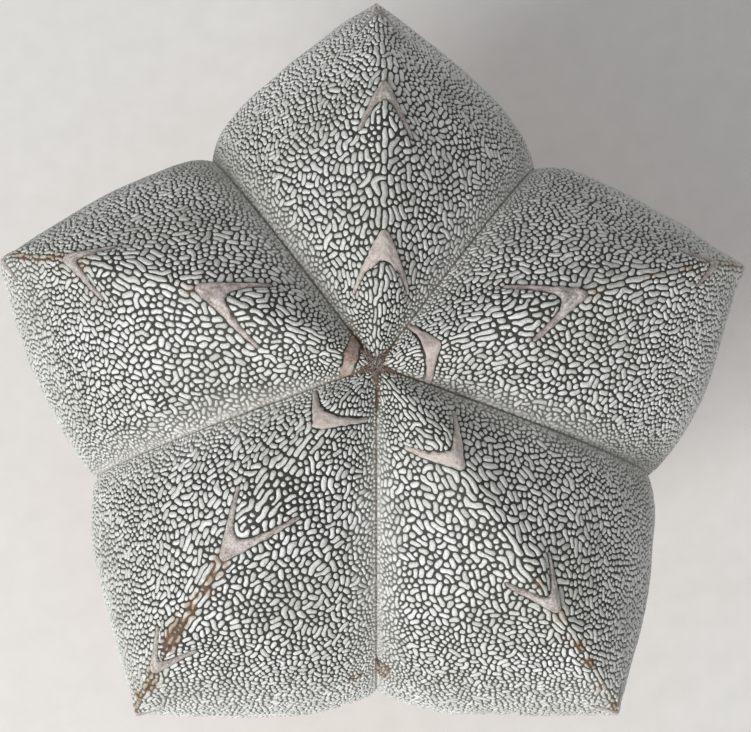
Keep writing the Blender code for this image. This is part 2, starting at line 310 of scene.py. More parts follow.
def from_areole(chart, areole):
    """How far each cell is behind an areole, towards the apex, and beside it.

    Both are far outside for cells that are out of the areole's reach.
    """
    at, aside = areole[:2]
    crest = chart["crest"]
    down = chart["crest_down"]
    middle, above, below = ([np.interp(place, down, crest[:, i]) for i in range(3)]
                            for place in (at, at - 0.6, at + 0.6))
    uphill = np.array(above) - below
    uphill /= np.linalg.norm(uphill)
    off = chart["plain"] - middle
    behind = off @ uphill
    off_crest = crest[chart["rows"]] - middle
    bow = np.sqrt(np.maximum((off_crest**2).sum(-1) - (off_crest @ uphill) ** 2, 0.0))[:, None]
    beside = np.sqrt(np.maximum((off * off).sum(-1) - behind**2, 0.0)) - bow
    beside = np.maximum(beside, 0.0) * np.sign(chart["across"]) - aside
    within = (off * off).sum(-1) < AREOLE_REACH**2
    return np.where(within, behind, -20.0), np.where(within, beside, 20.0)


def chevron_distance(chart, areole):
    """How far each cell is outside one areole's forked felt, negative inside."""
    half, *arms, fill = areole[2:]
    behind, beside = from_areole(chart, areole)
    half = math.radians(half)
    distance = np.full(behind.shape, 9.0)
    for side, arm in zip((1, -1), arms):
        x = math.sin(half) * side
        y = math.cos(half)
        on_arm = np.clip(beside * x + behind * y, 0.0, arm)
        off = np.hypot(beside - on_arm * x, behind - on_arm * y)
        width = ARM_ROOT + (ARM_TIP - ARM_ROOT) * (on_arm / arm) ** 0.8
        distance = np.minimum(distance, off - width)
    web = np.abs(beside) * math.cos(half) - behind * math.sin(half)
    arch = np.minimum(0.45 * beside**2, ARCH_DEPTH)
    if areole[2] > WIDE_FORK:
        arch = beside**2 / 12.0
    web = np.maximum(web, behind - fill - arch)
    blend = np.clip(0.5 + (distance - web) / 0.8, 0.0, 1.0)
    return distance * (1.0 - blend) + web * blend - 0.4 * blend * (1.0 - blend)


def crest_line(rib, down):
    """How far the sharpest line of a rib wanders to its counter-clockwise side."""
    places = [0.0] + [areole[0] for areole in AREOLES[rib]]
    aside = [0.0] + [areole[1] for areole in AREOLES[rib]]
    return np.interp(down, places, aside)


def make_chart(rib):
    """A fine grid of one rib: its points, normals, and distances down and across, all in mm.

    The skin is raised inside each areole's fork, creased round its pad, and gently uneven.
    """
    places = np.linspace(CHART_TOP, CHART_FOOT, PROFILE_STEPS)
    crest = profile_line(CREST_PROFILE, places, 1.0)
    groove = profile_line(GROOVE_PROFILE, places, 1.0)
    steps = np.linalg.norm(np.diff(crest, axis=0), axis=1)
    steps += np.linalg.norm(np.diff(groove, axis=0), axis=1)
    length = np.concatenate([[0.0], np.cumsum(steps)])
    place = np.interp(np.linspace(0.0, length[-1], CHART_ROWS), length, places)
    across = np.linspace(-1.0, 1.0, CHART_COLUMNS)
    points = flank_surface(rib, place, across)
    on_crest = points[:, CREST_COLUMN]
    down = np.cumsum(np.linalg.norm(np.diff(on_crest, axis=0, prepend=on_crest[:1]), axis=1))
    down += np.linalg.norm(on_crest[0] - np.array([0.0, 0.0, SOIL_LEVEL + CREST_PROFILE[0, 1]]))
    side_steps = np.linalg.norm(np.diff(points, axis=1, prepend=points[:, :1]), axis=2)
    beside = np.cumsum(side_steps, axis=1)
    beside -= beside[:, CREST_COLUMN:CREST_COLUMN + 1]
    chart = {"down": np.repeat(down[:, None], CHART_COLUMNS, 1), "across": beside,
             "plain": points, "crest": on_crest, "crest_down": down, "rows": slice(None)}
    chart["row_step"] = 0.9 * (length[-1] / 2.0) / CHART_ROWS
    chart["column_step"] = 0.7 * (beside[:, -1] - beside[:, 0]) / CHART_COLUMNS
    edge = np.minimum(beside.max(1, keepdims=True) - beside, beside - beside.min(1, keepdims=True))
    chart["edge"] = edge
    # How far across the groove's margin, where the wool is finer: 1 is on the open flank.
    margin = edge / np.minimum(5.0, 0.35 * edge.max(1, keepdims=True))
    chart["margin"] = margin
    chart["open"] = edge - FLECK_CLEAR * (0.4 + 0.6 * ease(chart["down"], 3.0, 14.0))
    drift = crest_line(rib, down)[:, None]
    chart["off_crest"] = beside - drift
    normals = surface_normals(points)

    fork = np.zeros(points.shape[:2])
    crotch = np.zeros(points.shape[:2])
    areole_edge = np.full(points.shape[:2], 9.0)
    relief = np.zeros(points.shape[:2])
    for areole in AREOLES[rib]:
        distance = chevron_distance(chart, areole)
        areole_edge = np.minimum(areole_edge, distance)
        half, arm, _, fill = areole[2:]
        behind, beside_fork = from_areole(chart, areole)
        beside_fork = np.abs(beside_fork)
        spread = np.maximum(behind * math.tan(math.radians(half)), 0.05)
        within = ease(spread - beside_fork, 0.0, 1.8) * ease(behind - fill, -0.4, 2.0)
        within *= 1.0 - ease(behind, arm * 0.75, arm * 1.6)
        fork = np.maximum(fork, within)
        crotch = np.maximum(crotch, ease(spread - beside_fork, -0.2, 0.3)
                            * (1.0 - ease(behind - fill, 1.2, 3.0)))
        reach = np.hypot(beside_fork, behind - 0.8)
        relief += PAD_RISE * np.exp(-(reach / (0.8 + 0.4 * fill)) ** 2)
    relief += FORK_RISE * fork
    relief -= CREASE_DEPTH * np.exp(-((areole_edge - 0.12) / 0.24) ** 2)
    small = soft_noise(points, 4.0, 40 + rib)
    broad = soft_noise(points, 11.0, 50 + rib)
    relief += SMALL_WAVE * small + BROAD_WAVE * broad
    relief -= RELIEF_SINK
    # The ridge itself moves aside with its areoles, square to the crest so that it can't fold.
    tilt = 0.95 * np.tan(np.radians(along(CREST_DROP, place)))[:, None]
    tilt = tilt * (1.0 - ease(chart["down"], 44.0, 60.0))
    ridge = np.abs(beside) - np.sqrt((beside - drift) ** 2 + 0.25)
    relief += tilt * ridge * np.exp(-(beside / 8.5) ** 2)
    by_crest = np.exp(-(beside / 6.0) ** 2)[..., None]
    normals = normals * (1.0 - by_crest) + normals[:, CREST_COLUMN:CREST_COLUMN + 1] * by_crest
    relief *= ease(edge, 0.0, 4.0)
    points = points + normals * relief[..., None]
    chart["points"] = points
    chart["normals"] = surface_normals(points)
    chart["fork"] = fork
    chart["crotch"] = crotch
    chart["areole_edge"] = areole_edge
    chart["cork"] = cork_stain(rib, chart, points)
    ragged = margin + 0.05 * soft_noise(points, 1.2, 80 + rib)
    weathered = ease(chart["down"], 42.0, 54.0) * (1.0 - ease(chart["down"], 66.0, 84.0))
    chart["scurf"] = np.maximum.reduce([
        1.0 - ease(ragged, 0.04, 0.42), 0.32 * (1.0 - ease(ragged, 0.35, 1.0)), 0.25 * weathered,
    ])
    return chart


def cork_stain(rib, chart, points):
    """Where the skin has gone brown and corky: along old crests, by the apex and in grooves."""
    patches = 0.5 + 0.5 * soft_noise(points, 1.5, 60 + rib)
    specks = 0.5 + 0.5 * soft_noise(points, 0.55, 70 + rib)
    thin = np.exp(-(chart["off_crest"] / 0.45) ** 2)
    wide = np.exp(-(chart["off_crest"] / 1.5) ** 2)
    old = ease(chart["down"], 12.0, 44.0)
    worn = ease(patches + 0.6 * specks, 0.72, 1.2)
    crest = CREST_STAIN[rib] * old * (0.62 * thin + 0.95 * wide * worn)
    for at, aside, *_ in AREOLES[rib]:
        off = np.hypot(chart["down"] - at - 1.0, chart["across"] - aside)
        below = (0.4 + 0.6 * CREST_STAIN[rib]) * np.exp(-(off / 1.2) ** 2) * (0.5 + 0.7 * specks)
        crest = np.maximum(crest, below * (at > 20.0))
    for scarred, side, at, inward, radius in SCARS:
        off = np.hypot(chart["down"] - at, chart["edge"] - inward)
        ring = np.exp(-((off - 0.8 * radius) / (0.6 * radius)) ** 2) * (0.6 + 0.6 * specks)
        crest = np.maximum(crest, ring * (scarred == rib) * (chart["across"] * side > 0.0))
    for marked, at, aside, radius in BLOTCHES:
        off = np.hypot(chart["down"] - at, chart["across"] - aside)
        blotch = np.exp(-(off / radius) ** 2) * (0.5 + 0.7 * specks)
        crest = np.maximum(crest, blotch * (marked == rib))
    apex = (1.0 - ease(chart["down"], 0.8, 2.4)) * (0.25 + 0.5 * specks)
    by_groove = np.where(chart["across"] > 0.0, GROOVE_STAIN[rib], GROOVE_STAIN[rib - 1])
    young = by_groove * (1.0 - ease(chart["down"], 3.0, 10.0))
    in_groove = np.exp(-(chart["edge"] / (0.22 + 0.45 * young * patches)) ** 2)
    pale = np.where(chart["across"] > 0.0, GROOVE_FLOOR[rib], GROOVE_FLOOR[rib - 1])
    floor = FRESH_FLOOR + (pale - FRESH_FLOOR) * ease(chart["down"], 14.0, 30.0)
    groove = in_groove * (floor + 0.5 * young + 0.25 * patches * specks)
    foot = ease(chart["down"], 86.0, 99.0) * (0.45 + 0.4 * patches)
    return np.clip(np.maximum.reduce([crest, apex, groove, foot]), 0.0, 1.0)


CHARTS = {}


def chart_of(rib):
    """A rib's chart, drawn once and then kept for the skin, the flecks and the areoles."""
    if rib not in CHARTS:
        CHARTS[rib] = make_chart(rib)
    return CHARTS[rib]


def read_grid(grid, row, column):
    """Values of a grid between its cells."""
    low_row = np.clip(row.astype(int), 0, grid.shape[0] - 2)
    low_column = np.clip(column.astype(int), 0, grid.shape[1] - 2)
    down = row - low_row
    side = column - low_column
    if grid.ndim > 2:
        down = down[..., None]
        side = side[..., None]
    near = grid[low_row, low_column] * (1 - side) + grid[low_row, low_column + 1] * side
    far = grid[low_row + 1, low_column] * (1 - side) + grid[low_row + 1, low_column + 1] * side
    return near * (1 - down) + far * down


def fleck_widths(chart, size):
    """How wide a fleck is at each place: finer by the apex and the grooves."""
    open_rib = ease(chart["down"], 2.0, 18.0)
    crestness = np.exp(-(chart["off_crest"] / (0.7 + 1.1 * open_rib)) ** 2)
    width = size * (0.61 + 0.39 * open_rib)
    width = width * (0.68 + 0.32 * ease(chart["margin"], 0.06, 1.3))
    shoulder = ease(chart["down"], 26.0, 48.0) * (1.0 - ease(chart["down"], 60.0, 74.0))
    width = width * (1.0 - 0.20 * shoulder)
    return width * (1.0 + 0.03 * chart["fork"] - 0.05 * crestness), crestness


def window_round(chart, row, column, last_row, last_column, reach):
    """The cells within a distance of some others. Columns are narrow by the apex."""
    rows = int(reach / chart["row_step"]) + 1
    columns = int(reach / chart["column_step"][row]) + 1
    return (slice(max(row - rows, 0), last_row + rows + 1),
            slice(max(column - columns, 0), last_column + columns + 1))


def sow_seeds(chart, width, rng):
    """Cells spread evenly at random, about a fleck's width apart."""
    points = chart["points"]
    free = (chart["areole_edge"] > SOWN_CLEAR) & (chart["open"] > 0.08)
    seeds = []
    # The crest's own line of seeds comes first, so that long flecks run along it.
    crest = np.arange(CHART_ROWS) * CHART_COLUMNS + np.abs(chart["off_crest"]).argmin(1)
    for cell in np.concatenate([crest, rng.permutation(np.flatnonzero(free))]):
        row, column = divmod(int(cell), CHART_COLUMNS)
        if not free[row, column]:
            continue
        space = width[row, column] * FLECK_SPACING
        window = window_round(chart, row, column, row, column, space)
        off = points[window] - points[row, column]
        free[window] &= (off * off).sum(-1) > space * space
        seeds.append((row, column))
    seeds = np.array(seeds)
    open_skin = (chart["areole_edge"] > SETTLED_CLEAR) & (chart["open"] > 0.0)
    for _ in range(SETTLINGS):
        seeds = settle(chart, seeds, width, open_skin)
    return seeds


def settle(chart, seeds, width, open_skin):
    """Moves each seed to the middle of the skin that is nearest to it."""
    points = chart["points"]
    nearest = np.full(width.shape, 9.0, np.float32)
    owner = np.full(width.shape, -1, np.int32)
    for number, (row, column) in enumerate(seeds):
        window = window_round(chart, row, column, row, column, 1.15 * width[row, column])
        off = points[window] - points[row, column]
        distance = (off * off).sum(-1)
        best = nearest[window]
        closer = distance < best
        best[closer] = distance[closer]
        owner[window][closer] = number
    owner[~open_skin] = -1
    row, column = np.nonzero(owner >= 0)
    mine = owner[row, column]
    count = np.maximum(np.bincount(mine, minlength=len(seeds)), 1)
    middle = np.stack([np.bincount(mine, row, len(seeds)) / count,
                       np.bincount(mine, column, len(seeds)) / count], 1)
    return np.where(count[:, None] > 3, np.round(middle).astype(int), seeds)


def join_seeds(place, down, across, width, crestness, fork, rng):
    """Joins some seeds into longer flecks, in chains and never in lumps.

    Returns the group of each seed, and the links.
    """
    count = len(place)
    group = np.arange(count)
    members = [[i] for i in range(count)]
    links = []
    taken = [[] for _ in range(count)]
    squares = (place * place).sum(1)
    apart = np.sqrt(np.maximum(squares[:, None] + squares[None] - 2.0 * place @ place.T, 0.0))
    np.fill_diagonal(apart, 99.0)
    for seed in rng.permutation(count):
        if rng.random() > JOIN_CHANCE + CREST_JOINS * crestness[seed] - 0.04 * fork[seed]:
            continue
        most = 2 + (rng.random() < THIRD_SEED) + (rng.random() < FOURTH_SEED)
        most += int(CREST_SEEDS * crestness[seed])
        near = np.flatnonzero(apart[seed] < width[seed] * LINK_REACH)
        if not len(near):
            continue
        step = np.stack([across[near] - across[seed], down[near] - down[seed]], 1)
        step /= np.linalg.norm(step, axis=1, keepdims=True) + 1e-9
        wish = rng.random(len(near)) * 0.9 - apart[seed][near] / width[seed] * 0.5
        along_crest = 0.30 + crestness[seed] + 0.6 * crestness[seed] ** 0.13
        wish += np.abs(step[:, 1]) * along_crest
        for other in near[np.argsort(-wish)]:
            mine = group[seed]
            theirs = group[other]
            if mine == theirs or len(members[mine]) + len(members[theirs]) > most:
                continue
            way = (place[other] - place[seed]) / apart[seed, other]
            if any(way @ one > CHAIN_BEND for one in taken[seed]):
                continue
            if any(-way @ one > CHAIN_BEND for one in taken[other]):
                continue
            middle = 0.5 * (place[seed] + place[other])
            others = near[near != other]
            room = np.linalg.norm(place[others] - middle, axis=1)
            if len(room) and room.min() < CHAIN_ROOM * width[seed]:
                continue
            members[mine] += members[theirs]
            for member in members[theirs]:
                group[member] = mine
            members[theirs] = []
            taken[seed].append(way)
            taken[other].append(-way)
            links.append((seed, other, apart[seed, other]))
            break
    return group, links


def fleck_field(chart, rib, size, gap):
    """A grid that is above 0 inside the flecks."""
    rng = np.random.default_rng(5 + rib)
    width, crestness = fleck_widths(chart, size)
    seeds = sow_seeds(chart, width, rng)
    cells = (seeds[:, 0], seeds[:, 1])
    points = chart["points"]
    place = points[cells]
    group, links = join_seeds(
        place, chart["down"][cells], chart["across"][cells], width[cells], crestness[cells],
        chart["fork"][cells], rng,
    )
    skeleton = {}
    extent = {}
    for number, (row, column) in enumerate(seeds):
        name = group[number]
        skeleton.setdefault(name, []).append(place[number])
        low_row, high_row, low_column, high_column = extent.get(name, (row, row, column, column))
        extent[name] = (min(low_row, row), max(high_row, row),
                        min(low_column, column), max(high_column, column))
    for seed, other, apart in links:
        pieces = int(math.ceil(apart / LINK_STEP))
        skeleton[group[seed]] += [
            place[seed] + (place[other] - place[seed]) * part / pieces for part in range(1, pieces)
        ]
    nearest = np.full(width.shape, 9.0)
    second = np.full(width.shape, 9.0)
    for name, bones in skeleton.items():
        low_row, high_row, low_column, high_column = extent[name]
        window = window_round(chart, low_row, low_column, high_row, high_column, FLECK_WINDOW)
        seen = points[window]
        square = np.full(seen.shape[:2], 99.0)
        for bone in bones:
            off = seen - bone
            np.minimum(square, (off * off).sum(-1), out=square)
        distance = np.sqrt(square) - rng.uniform(-0.03, 0.03) - LONE_BONUS * (len(bones) == 1)
        best = nearest[window]
        runner_up = second[window]
        runner_up[:] = np.where(distance < best, best, np.minimum(runner_up, distance))
        best[:] = np.minimum(best, distance)
    open_rib = ease(chart["down"], 3.0, 18.0)
    gap = gap * np.maximum(width / size, LEAST_GAP)
    gap = gap * (1.0 + 0.10 * crestness + (0.05 + 0.30 * open_rib) * chart["fork"])
    field = np.minimum((second - nearest) / 2.0 - gap / 2.0, FLECK_REACH * width - nearest)
    ragged = gap * (0.12 + 0.30 * open_rib)
    field -= ragged * np.maximum(soft_noise(points, 0.42, 700 + rib), 0.0)
    field -= 0.07 * ease(chart["cork"], 0.45, 1.0)
    field = np.minimum(field, chart["areole_edge"] - 0.10 - 0.13 * chart["crotch"])
    field = np.minimum(field, chart["open"])
    field[:2] = -1.0
    field[-2:] = -1.0
    field[:, :2] = -1.0
    field[:, -2:] = -1.0
    return field


def outlines(field):
    """Closed outlines of where a grid is above 0, each as an array of (row, column)."""
    rows, columns = field.shape
    inside = field > 0.0
    corner = [inside[:-1, :-1], inside[:-1, 1:], inside[1:, 1:], inside[1:, :-1]]
    row, column = np.meshgrid(np.arange(rows - 1), np.arange(columns - 1), indexing="ij")
    upright = rows * columns
    edge = [row * columns + column, upright + row * columns + column + 1,
            (row + 1) * columns + column, upright + row * columns + column]
    following = {}
    for k in range(4):
        leaving = corner[k] & ~corner[(k + 1) % 4]
        one = leaving & ~corner[k - 1]
        two = leaving & corner[k - 1] & ~corner[k - 2]
        three = leaving & corner[k - 1] & corner[k - 2]
        for cells, arrival in ((one, k - 1), (two, k - 2), (three, k - 3)):
            following.update(zip(edge[k][cells].tolist(), edge[arrival][cells].tolist()))
    loops = []
    while following:
        first, current = following.popitem()
        loop = [first]
        while current != first:
            loop.append(current)
            current = following.pop(current)
        loops.append(np.array(loop))
    flat = field.ravel()
    placed = []
    for loop in loops:
        stands = loop >= upright
        cell = np.where(stands, loop - upright, loop)
        low = flat[cell]
        high = flat[cell + np.where(stands, columns, 1)]
        part = low / (low - high)
        placed.append(np.stack([cell // columns + np.where(stands, part, 0.0),
                                cell % columns + np.where(stands, 0.0, part)], 1))
    return placed


def even_ring(ring):
    """A closed ring, smoothed and cut again into even steps.

    Its first two columns are the row and column on the chart, and the other three the place.
    """
    for _ in range(2):
        ring = 0.5 * ring + 0.25 * (np.roll(ring, 1, 0) + np.roll(ring, -1, 0))
    closed = np.vstack([ring, ring[:1]])
    at = np.concatenate([[0.0], np.cumsum(np.linalg.norm(np.diff(closed[:, 2:], axis=0), axis=1))])
    count = int(np.clip(round(at[-1] / FLECK_STEP), 8, FLECK_CORNERS))
    wanted = np.arange(count) * at[-1] / count
    ring = np.stack([np.interp(wanted, at, closed[:, i]) for i in range(closed.shape[1])], 1)
    return 0.6 * ring + 0.2 * (np.roll(ring, 1, 0) + np.roll(ring, -1, 0))


def build_mesh(name, points, faces, attributes=(), uv=None):
    """A smooth mesh object from points in millimetres, with point attributes and a bake map."""
    mesh = bpy.data.meshes.new(name)
    mesh.from_pydata((np.asarray(points) * MM).tolist(), [], faces)
    mesh.update()
    for attribute, values in attributes:
        layer = mesh.attributes.new(attribute, "FLOAT", "POINT")
        layer.data.foreach_set("value", np.asarray(values, np.float32))
    if uv is not None:
        corner = np.zeros(len(mesh.loops), np.int32)
        mesh.loops.foreach_get("vertex_index", corner)
        values = uv[corner] if len(uv) == len(points) else uv
        layer = mesh.uv_layers.new(name="OFBake")
        layer.data.foreach_set("uv", np.asarray(values, np.float32).ravel())
    mesh.polygons.foreach_set("use_smooth", np.ones(len(mesh.polygons), bool))
    piece = bpy.data.objects.new(name, mesh)
    bpy.context.scene.collection.objects.link(piece)
    return piece


def ring_turn(loop):
    """Twice the area inside a loop of (row, column), positive where it runs counter-clockwise."""
    y, x = loop[:, 0], loop[:, 1]
    return (x * np.roll(y, -1) - y * np.roll(x, -1)).sum()


def grow_flecks(rib, size, gap, height):
    """One rib's flecks, a piece for each flank.

    A fleck is a low closed pad of wool with a bevelled edge, set into the skin.
    """
    chart = chart_of(rib)
    rng = np.random.default_rng(90 + rib)
    flanks = ([], [])
    for loop in outlines(fleck_field(chart, rib, size, gap)):
        if ring_turn(loop) < 0.0:
            continue
        loop = loop[::-1]
        places = read_grid(chart["points"], loop[:, 0], loop[:, 1])
        ring = even_ring(np.hstack([loop, places]))
        if np.linalg.norm(ring[:, 2:] - ring[:, 2:].mean(0), axis=1).max() > SMALLEST_FLECK:
            flanks[int(ring[:, 1].mean() > CREST_COLUMN)].append(ring)
    pieces = []
    for flank, rings in zip("ab", flanks):
        points = []
        faces = []
        cork = []
        shade = []
        count = 0
        for ring in rings:
            steps = len(ring)
            place = ring[:, 2:]
            normal = read_grid(chart["normals"], ring[:, 0], ring[:, 1])
            ahead = np.roll(place, -1, 0) - np.roll(place, 1, 0)
            inward = np.cross(normal, ahead)
            inward /= np.linalg.norm(inward, axis=1, keepdims=True) + 1e-9
            around = np.linalg.norm(place - place.mean(0), axis=1)
            tip = around.argmax()
            ring, place, normal, inward = (
                np.roll(values, -tip, 0) for values in (ring, place, normal, inward))
            full = min(1.0, around.mean() / FULL_FLECK)
            lift = height * rng.uniform(0.75, 1.25) * (0.7 + 0.3 * full)
            bevel = FLECK_BEVEL * full
            points += [place - normal * FLECK_ROOT, place + inward * bevel + normal * lift]
            cork += [read_grid(chart["cork"], ring[:, 0], ring[:, 1])] * 2
            shade += [np.full(steps, rng.random())] * 2
            top = count + steps
            for i in range(steps):
                j = (i + 1) % steps
                faces.append((count + i, count + j, top + j, top + i))
            # The top and the bottom are laid in strips from tip to tip, so they follow the skin.
            for i in range((steps + 1) // 2):
                strip = dict.fromkeys((i, i + 1, steps - i - 1, (steps - i) % steps))
                if len(strip) > 2:
                    faces.append(tuple(top + k for k in strip))
                    faces.append(tuple(count + k for k in reversed(strip)))
            count = top + steps
        uv = np.vstack([ring[:, :2] for ring in rings for _ in range(2)])
        uv = uv[:, ::-1] / (CHART_COLUMNS / 2.0, CHART_ROWS) - (float(flank == "b"), 0.0)
        attributes = (("cork", np.concatenate(cork)), ("shade", np.concatenate(shade)))
        name = f"wool_flecks_{rib + 1}{flank}"
        pieces.append(build_mesh(name, np.vstack(points), faces, attributes, np.clip(uv, 0, 1)))
    return pieces


def grow_skin():
    """The plant's skin in one closed piece, its rows and columns taken from the ribs' charts."""
    rows = np.round(np.linspace(0, CHART_ROWS - 1, SKIN_ROWS)).astype(int)
    part = np.linspace(0.0, 1.0, SKIN_COLUMNS + 1)
    part = part - 0.09 * np.sin(math.tau * part)
    flank = np.concatenate([-part[:0:-1], part])[:-1]
    columns = np.round((flank + 1.0) / 2.0 * (CHART_COLUMNS - 1)).astype(int)
    under = np.linspace(SOIL_STATION + 0.25, len(CREST_PROFILE) - 1, UNDERSIDE_ROWS + 1)[:-1]
    points = []
    cork = []
    scurf = []
    chart_place = []
    for rib in range(RIB_COUNT):
        chart = chart_of(rib)
        grid = (chart["points"] - SKIN_SINK * chart["normals"])[rows][:, columns]
        beneath = flank_surface(rib, under, flank)
        points.append(np.concatenate([grid, beneath]))
        cork.append(np.concatenate([chart["cork"][rows][:, columns], np.ones(beneath.shape[:2])]))
        scurf.append(np.concatenate([chart["scurf"][rows][:, columns], 0.0 * beneath[..., 0]]))
        v = np.concatenate([rows / CHART_ROWS * 0.95,
                            0.955 + 0.04 * np.arange(len(under)) / len(under)])
        u = (rib + (flank + 1.0) / 2.0 * MAPPED_STRIP) / RIB_COUNT
        chart_place.append(np.stack(np.broadcast_arrays(u[None], v[:, None]), -1))
    points = np.concatenate(points, 1)
    cork = np.concatenate(cork, 1)
    scurf = np.concatenate(scurf, 1)
    chart_place = np.concatenate(chart_place, 1)
    height, width = cork.shape
    index = np.arange(height * width).reshape(height, width)
    top = height * width
    faces = []
    uv = []
    per_rib = len(flank)
    for r in range(height - 1):
        for c in range(width):
            d = (c + 1) % width
            faces.append((index[r, c], index[r + 1, c], index[r + 1, d], index[r, d]))
            right = chart_place[r, c, 0] + MAPPED_STRIP / RIB_COUNT / per_rib
            if d % per_rib:
                right = chart_place[r, d, 0]
            low, high = chart_place[r, c, 1], chart_place[r + 1, c, 1]
            left = chart_place[r, c, 0]
            uv += [(left, low), (left, high), (right, high), (right, low)]
    for c in range(width):
        d = (c + 1) % width
        faces.append((top, index[0, c], index[0, d]))
        faces.append((top + 1, index[-1, d], index[-1, c]))
        uv += [(0.5, 0.0), (chart_place[0, c, 0], 0.0), (chart_place[0, d, 0], 0.0)]
        uv += [(0.5, 1.0), (chart_place[-1, d, 0], 0.995), (chart_place[-1, c, 0], 0.995)]
    apex = (0.0, 0.0, SOIL_LEVEL + CREST_PROFILE[0, 1] - 0.5)
    base = (0.0, 0.0, SOIL_LEVEL + CREST_PROFILE[-1, 1])
    points = np.vstack([points.reshape(-1, 3), [apex, base]])
    attributes = (("cork", np.append(cork, [1.0, 1.0])), ("scurf", np.append(scurf, [0.0, 0.0])))
    return build_mesh("cactus_skin", points, faces, attributes, np.array(uv))


def chart_window(chart, down, across, reach):
    """The part of a chart that holds everything within a distance of one place."""
    rows = np.flatnonzero(np.abs(chart["down"][:, CREST_COLUMN] - down) < reach)
    near = np.abs(chart["across"][rows[0]:rows[-1] + 1] - across) < reach
    columns = np.flatnonzero(near.any(0))
    return slice(rows[0], rows[-1] + 1), slice(columns[0], columns[-1] + 1)


def grow_areoles(rib, thickness):
    """One rib's areoles: forked ridges of felt whose edges sink into the skin, each one closed."""
    chart = chart_of(rib)
    rng = np.random.default_rng(200 + rib)
    points = []
    faces = []
    uv = []
    cork = []
    nap = []
    count = 0
    for number, areole in enumerate(AREOLES[rib]):
        at, aside, half, *arms, fill = areole
        window = chart_window(chart, at, aside, max(arms) + 3.0)
        near = {name: chart[name][window]
                for name in ("across", "edge", "plain", "points", "normals")}
        near.update(crest=chart["crest"], crest_down=chart["crest_down"], rows=window[0])
        place = near["points"]
        distance = chevron_distance(near, areole)
        behind, beside = from_areole(near, areole)
        # The hairs are combed along the arms, so the streaks and the frayed edge run that way.
        x = math.sin(math.radians(half))
        y = math.cos(math.radians(half))
        combed = np.stack([0.22 * (np.abs(beside) * x + behind * y),
                           np.abs(beside) * y - behind * x, 3.0 * np.sign(beside)], -1)
        streak = 0.5 * soft_noise(combed, 0.22, 500 + 10 * rib + number)
        streak += 0.4 * soft_noise(place, 0.9, 600 + 10 * rib + number)
        distance = distance + 0.06 * soft_noise(place, 0.5, 300 + 10 * rib + number)
        distance += 0.10 * streak
        on_pad = np.exp(-(np.hypot(beside, behind - 0.9) / (0.4 + 0.5 * fill)) ** 2)
        inside = np.clip(-distance / (0.30 + 0.25 * on_pad), 0.0, 1.0)
        height = thickness * (0.8 + 0.7 * on_pad) * np.sqrt(1.0 - (1.0 - inside) ** 2)
        lumps = 0.03 * soft_noise(place, 0.35, 400 + 10 * rib + number)
        height += (lumps + 0.05 * streak) * inside
        height = np.where(distance > 0.0, -RIM_SLOPE * distance, height)
        keep = (distance < RIM_REACH) & (near["edge"] > AREOLE_CLEAR)
        cells = keep[:-1, :-1] & keep[1:, :-1] & keep[:-1, 1:] & keep[1:, 1:]
        lifted = place + near["normals"] * height[..., None]
        used = {}
        for row, column in np.argwhere(cells).tolist():
            corners = ((row, column), (row + 1, column), (row + 1, column + 1), (row, column + 1))
            faces.append(tuple(count + used.setdefault(corner, len(used)) for corner in corners))
        chosen = np.array(list(used))
        points.append(lifted[chosen[:, 0], chosen[:, 1]])
        on_chart = chosen + (window[0].start, window[1].start)
        uv.append(on_chart[:, ::-1] / (CHART_COLUMNS, CHART_ROWS))
        young = 1.0 - ease(at, 8.0, 24.0)
        age = 0.9 if at < 5.0 else 0.45 * young + 0.12 * rng.random() + 0.3 * ease(at, 60.0, 90.0)
        cork.append(np.full(len(chosen), age))
        # The felt's tone drops along its rim: painted shade where the felt sinks into the skin.
        tone = 0.19 + 0.48 * young + 0.25 * streak - 0.16 * (1.0 - ease(-distance, 0.0, 0.35))
        nap.append(np.clip(tone, 0.0, 1.0)[chosen[:, 0], chosen[:, 1]])
        count += len(used)
    attributes = (("cork", np.concatenate(cork)), ("nap", np.concatenate(nap)))
    piece = build_mesh(f"areole_felt_{rib + 1}", np.vstack(points), faces, attributes,
                       np.vstack(uv))
    close_underside(piece)
    return piece


def close_underside(piece):
    """Takes each shell's sunken rim a little deeper, and closes it underneath."""
    mesh = bmesh.new()
    mesh.from_mesh(piece.data)
    mesh.normal_update()
    rims = [edge for edge in mesh.edges if edge.is_boundary]
    down = {vertex.co.to_tuple(): -UNDERSIDE * MM * vertex.normal
            for edge in rims for vertex in edge.verts}
    wall = bmesh.ops.extrude_edge_only(mesh, edges=rims)["geom"]
    for vertex in wall:
        if isinstance(vertex, bmesh.types.BMVert):
            vertex.co += down[vertex.co.to_tuple()]
    rims = [edge for edge in mesh.edges if edge.is_boundary]
    bmesh.ops.holes_fill(mesh, edges=rims, sides=0)
    mesh.to_mesh(piece.data)
    mesh.free()


APEX_RINGS = 26
APEX_SPOKES = 84
FIBRE_STEPS = 5


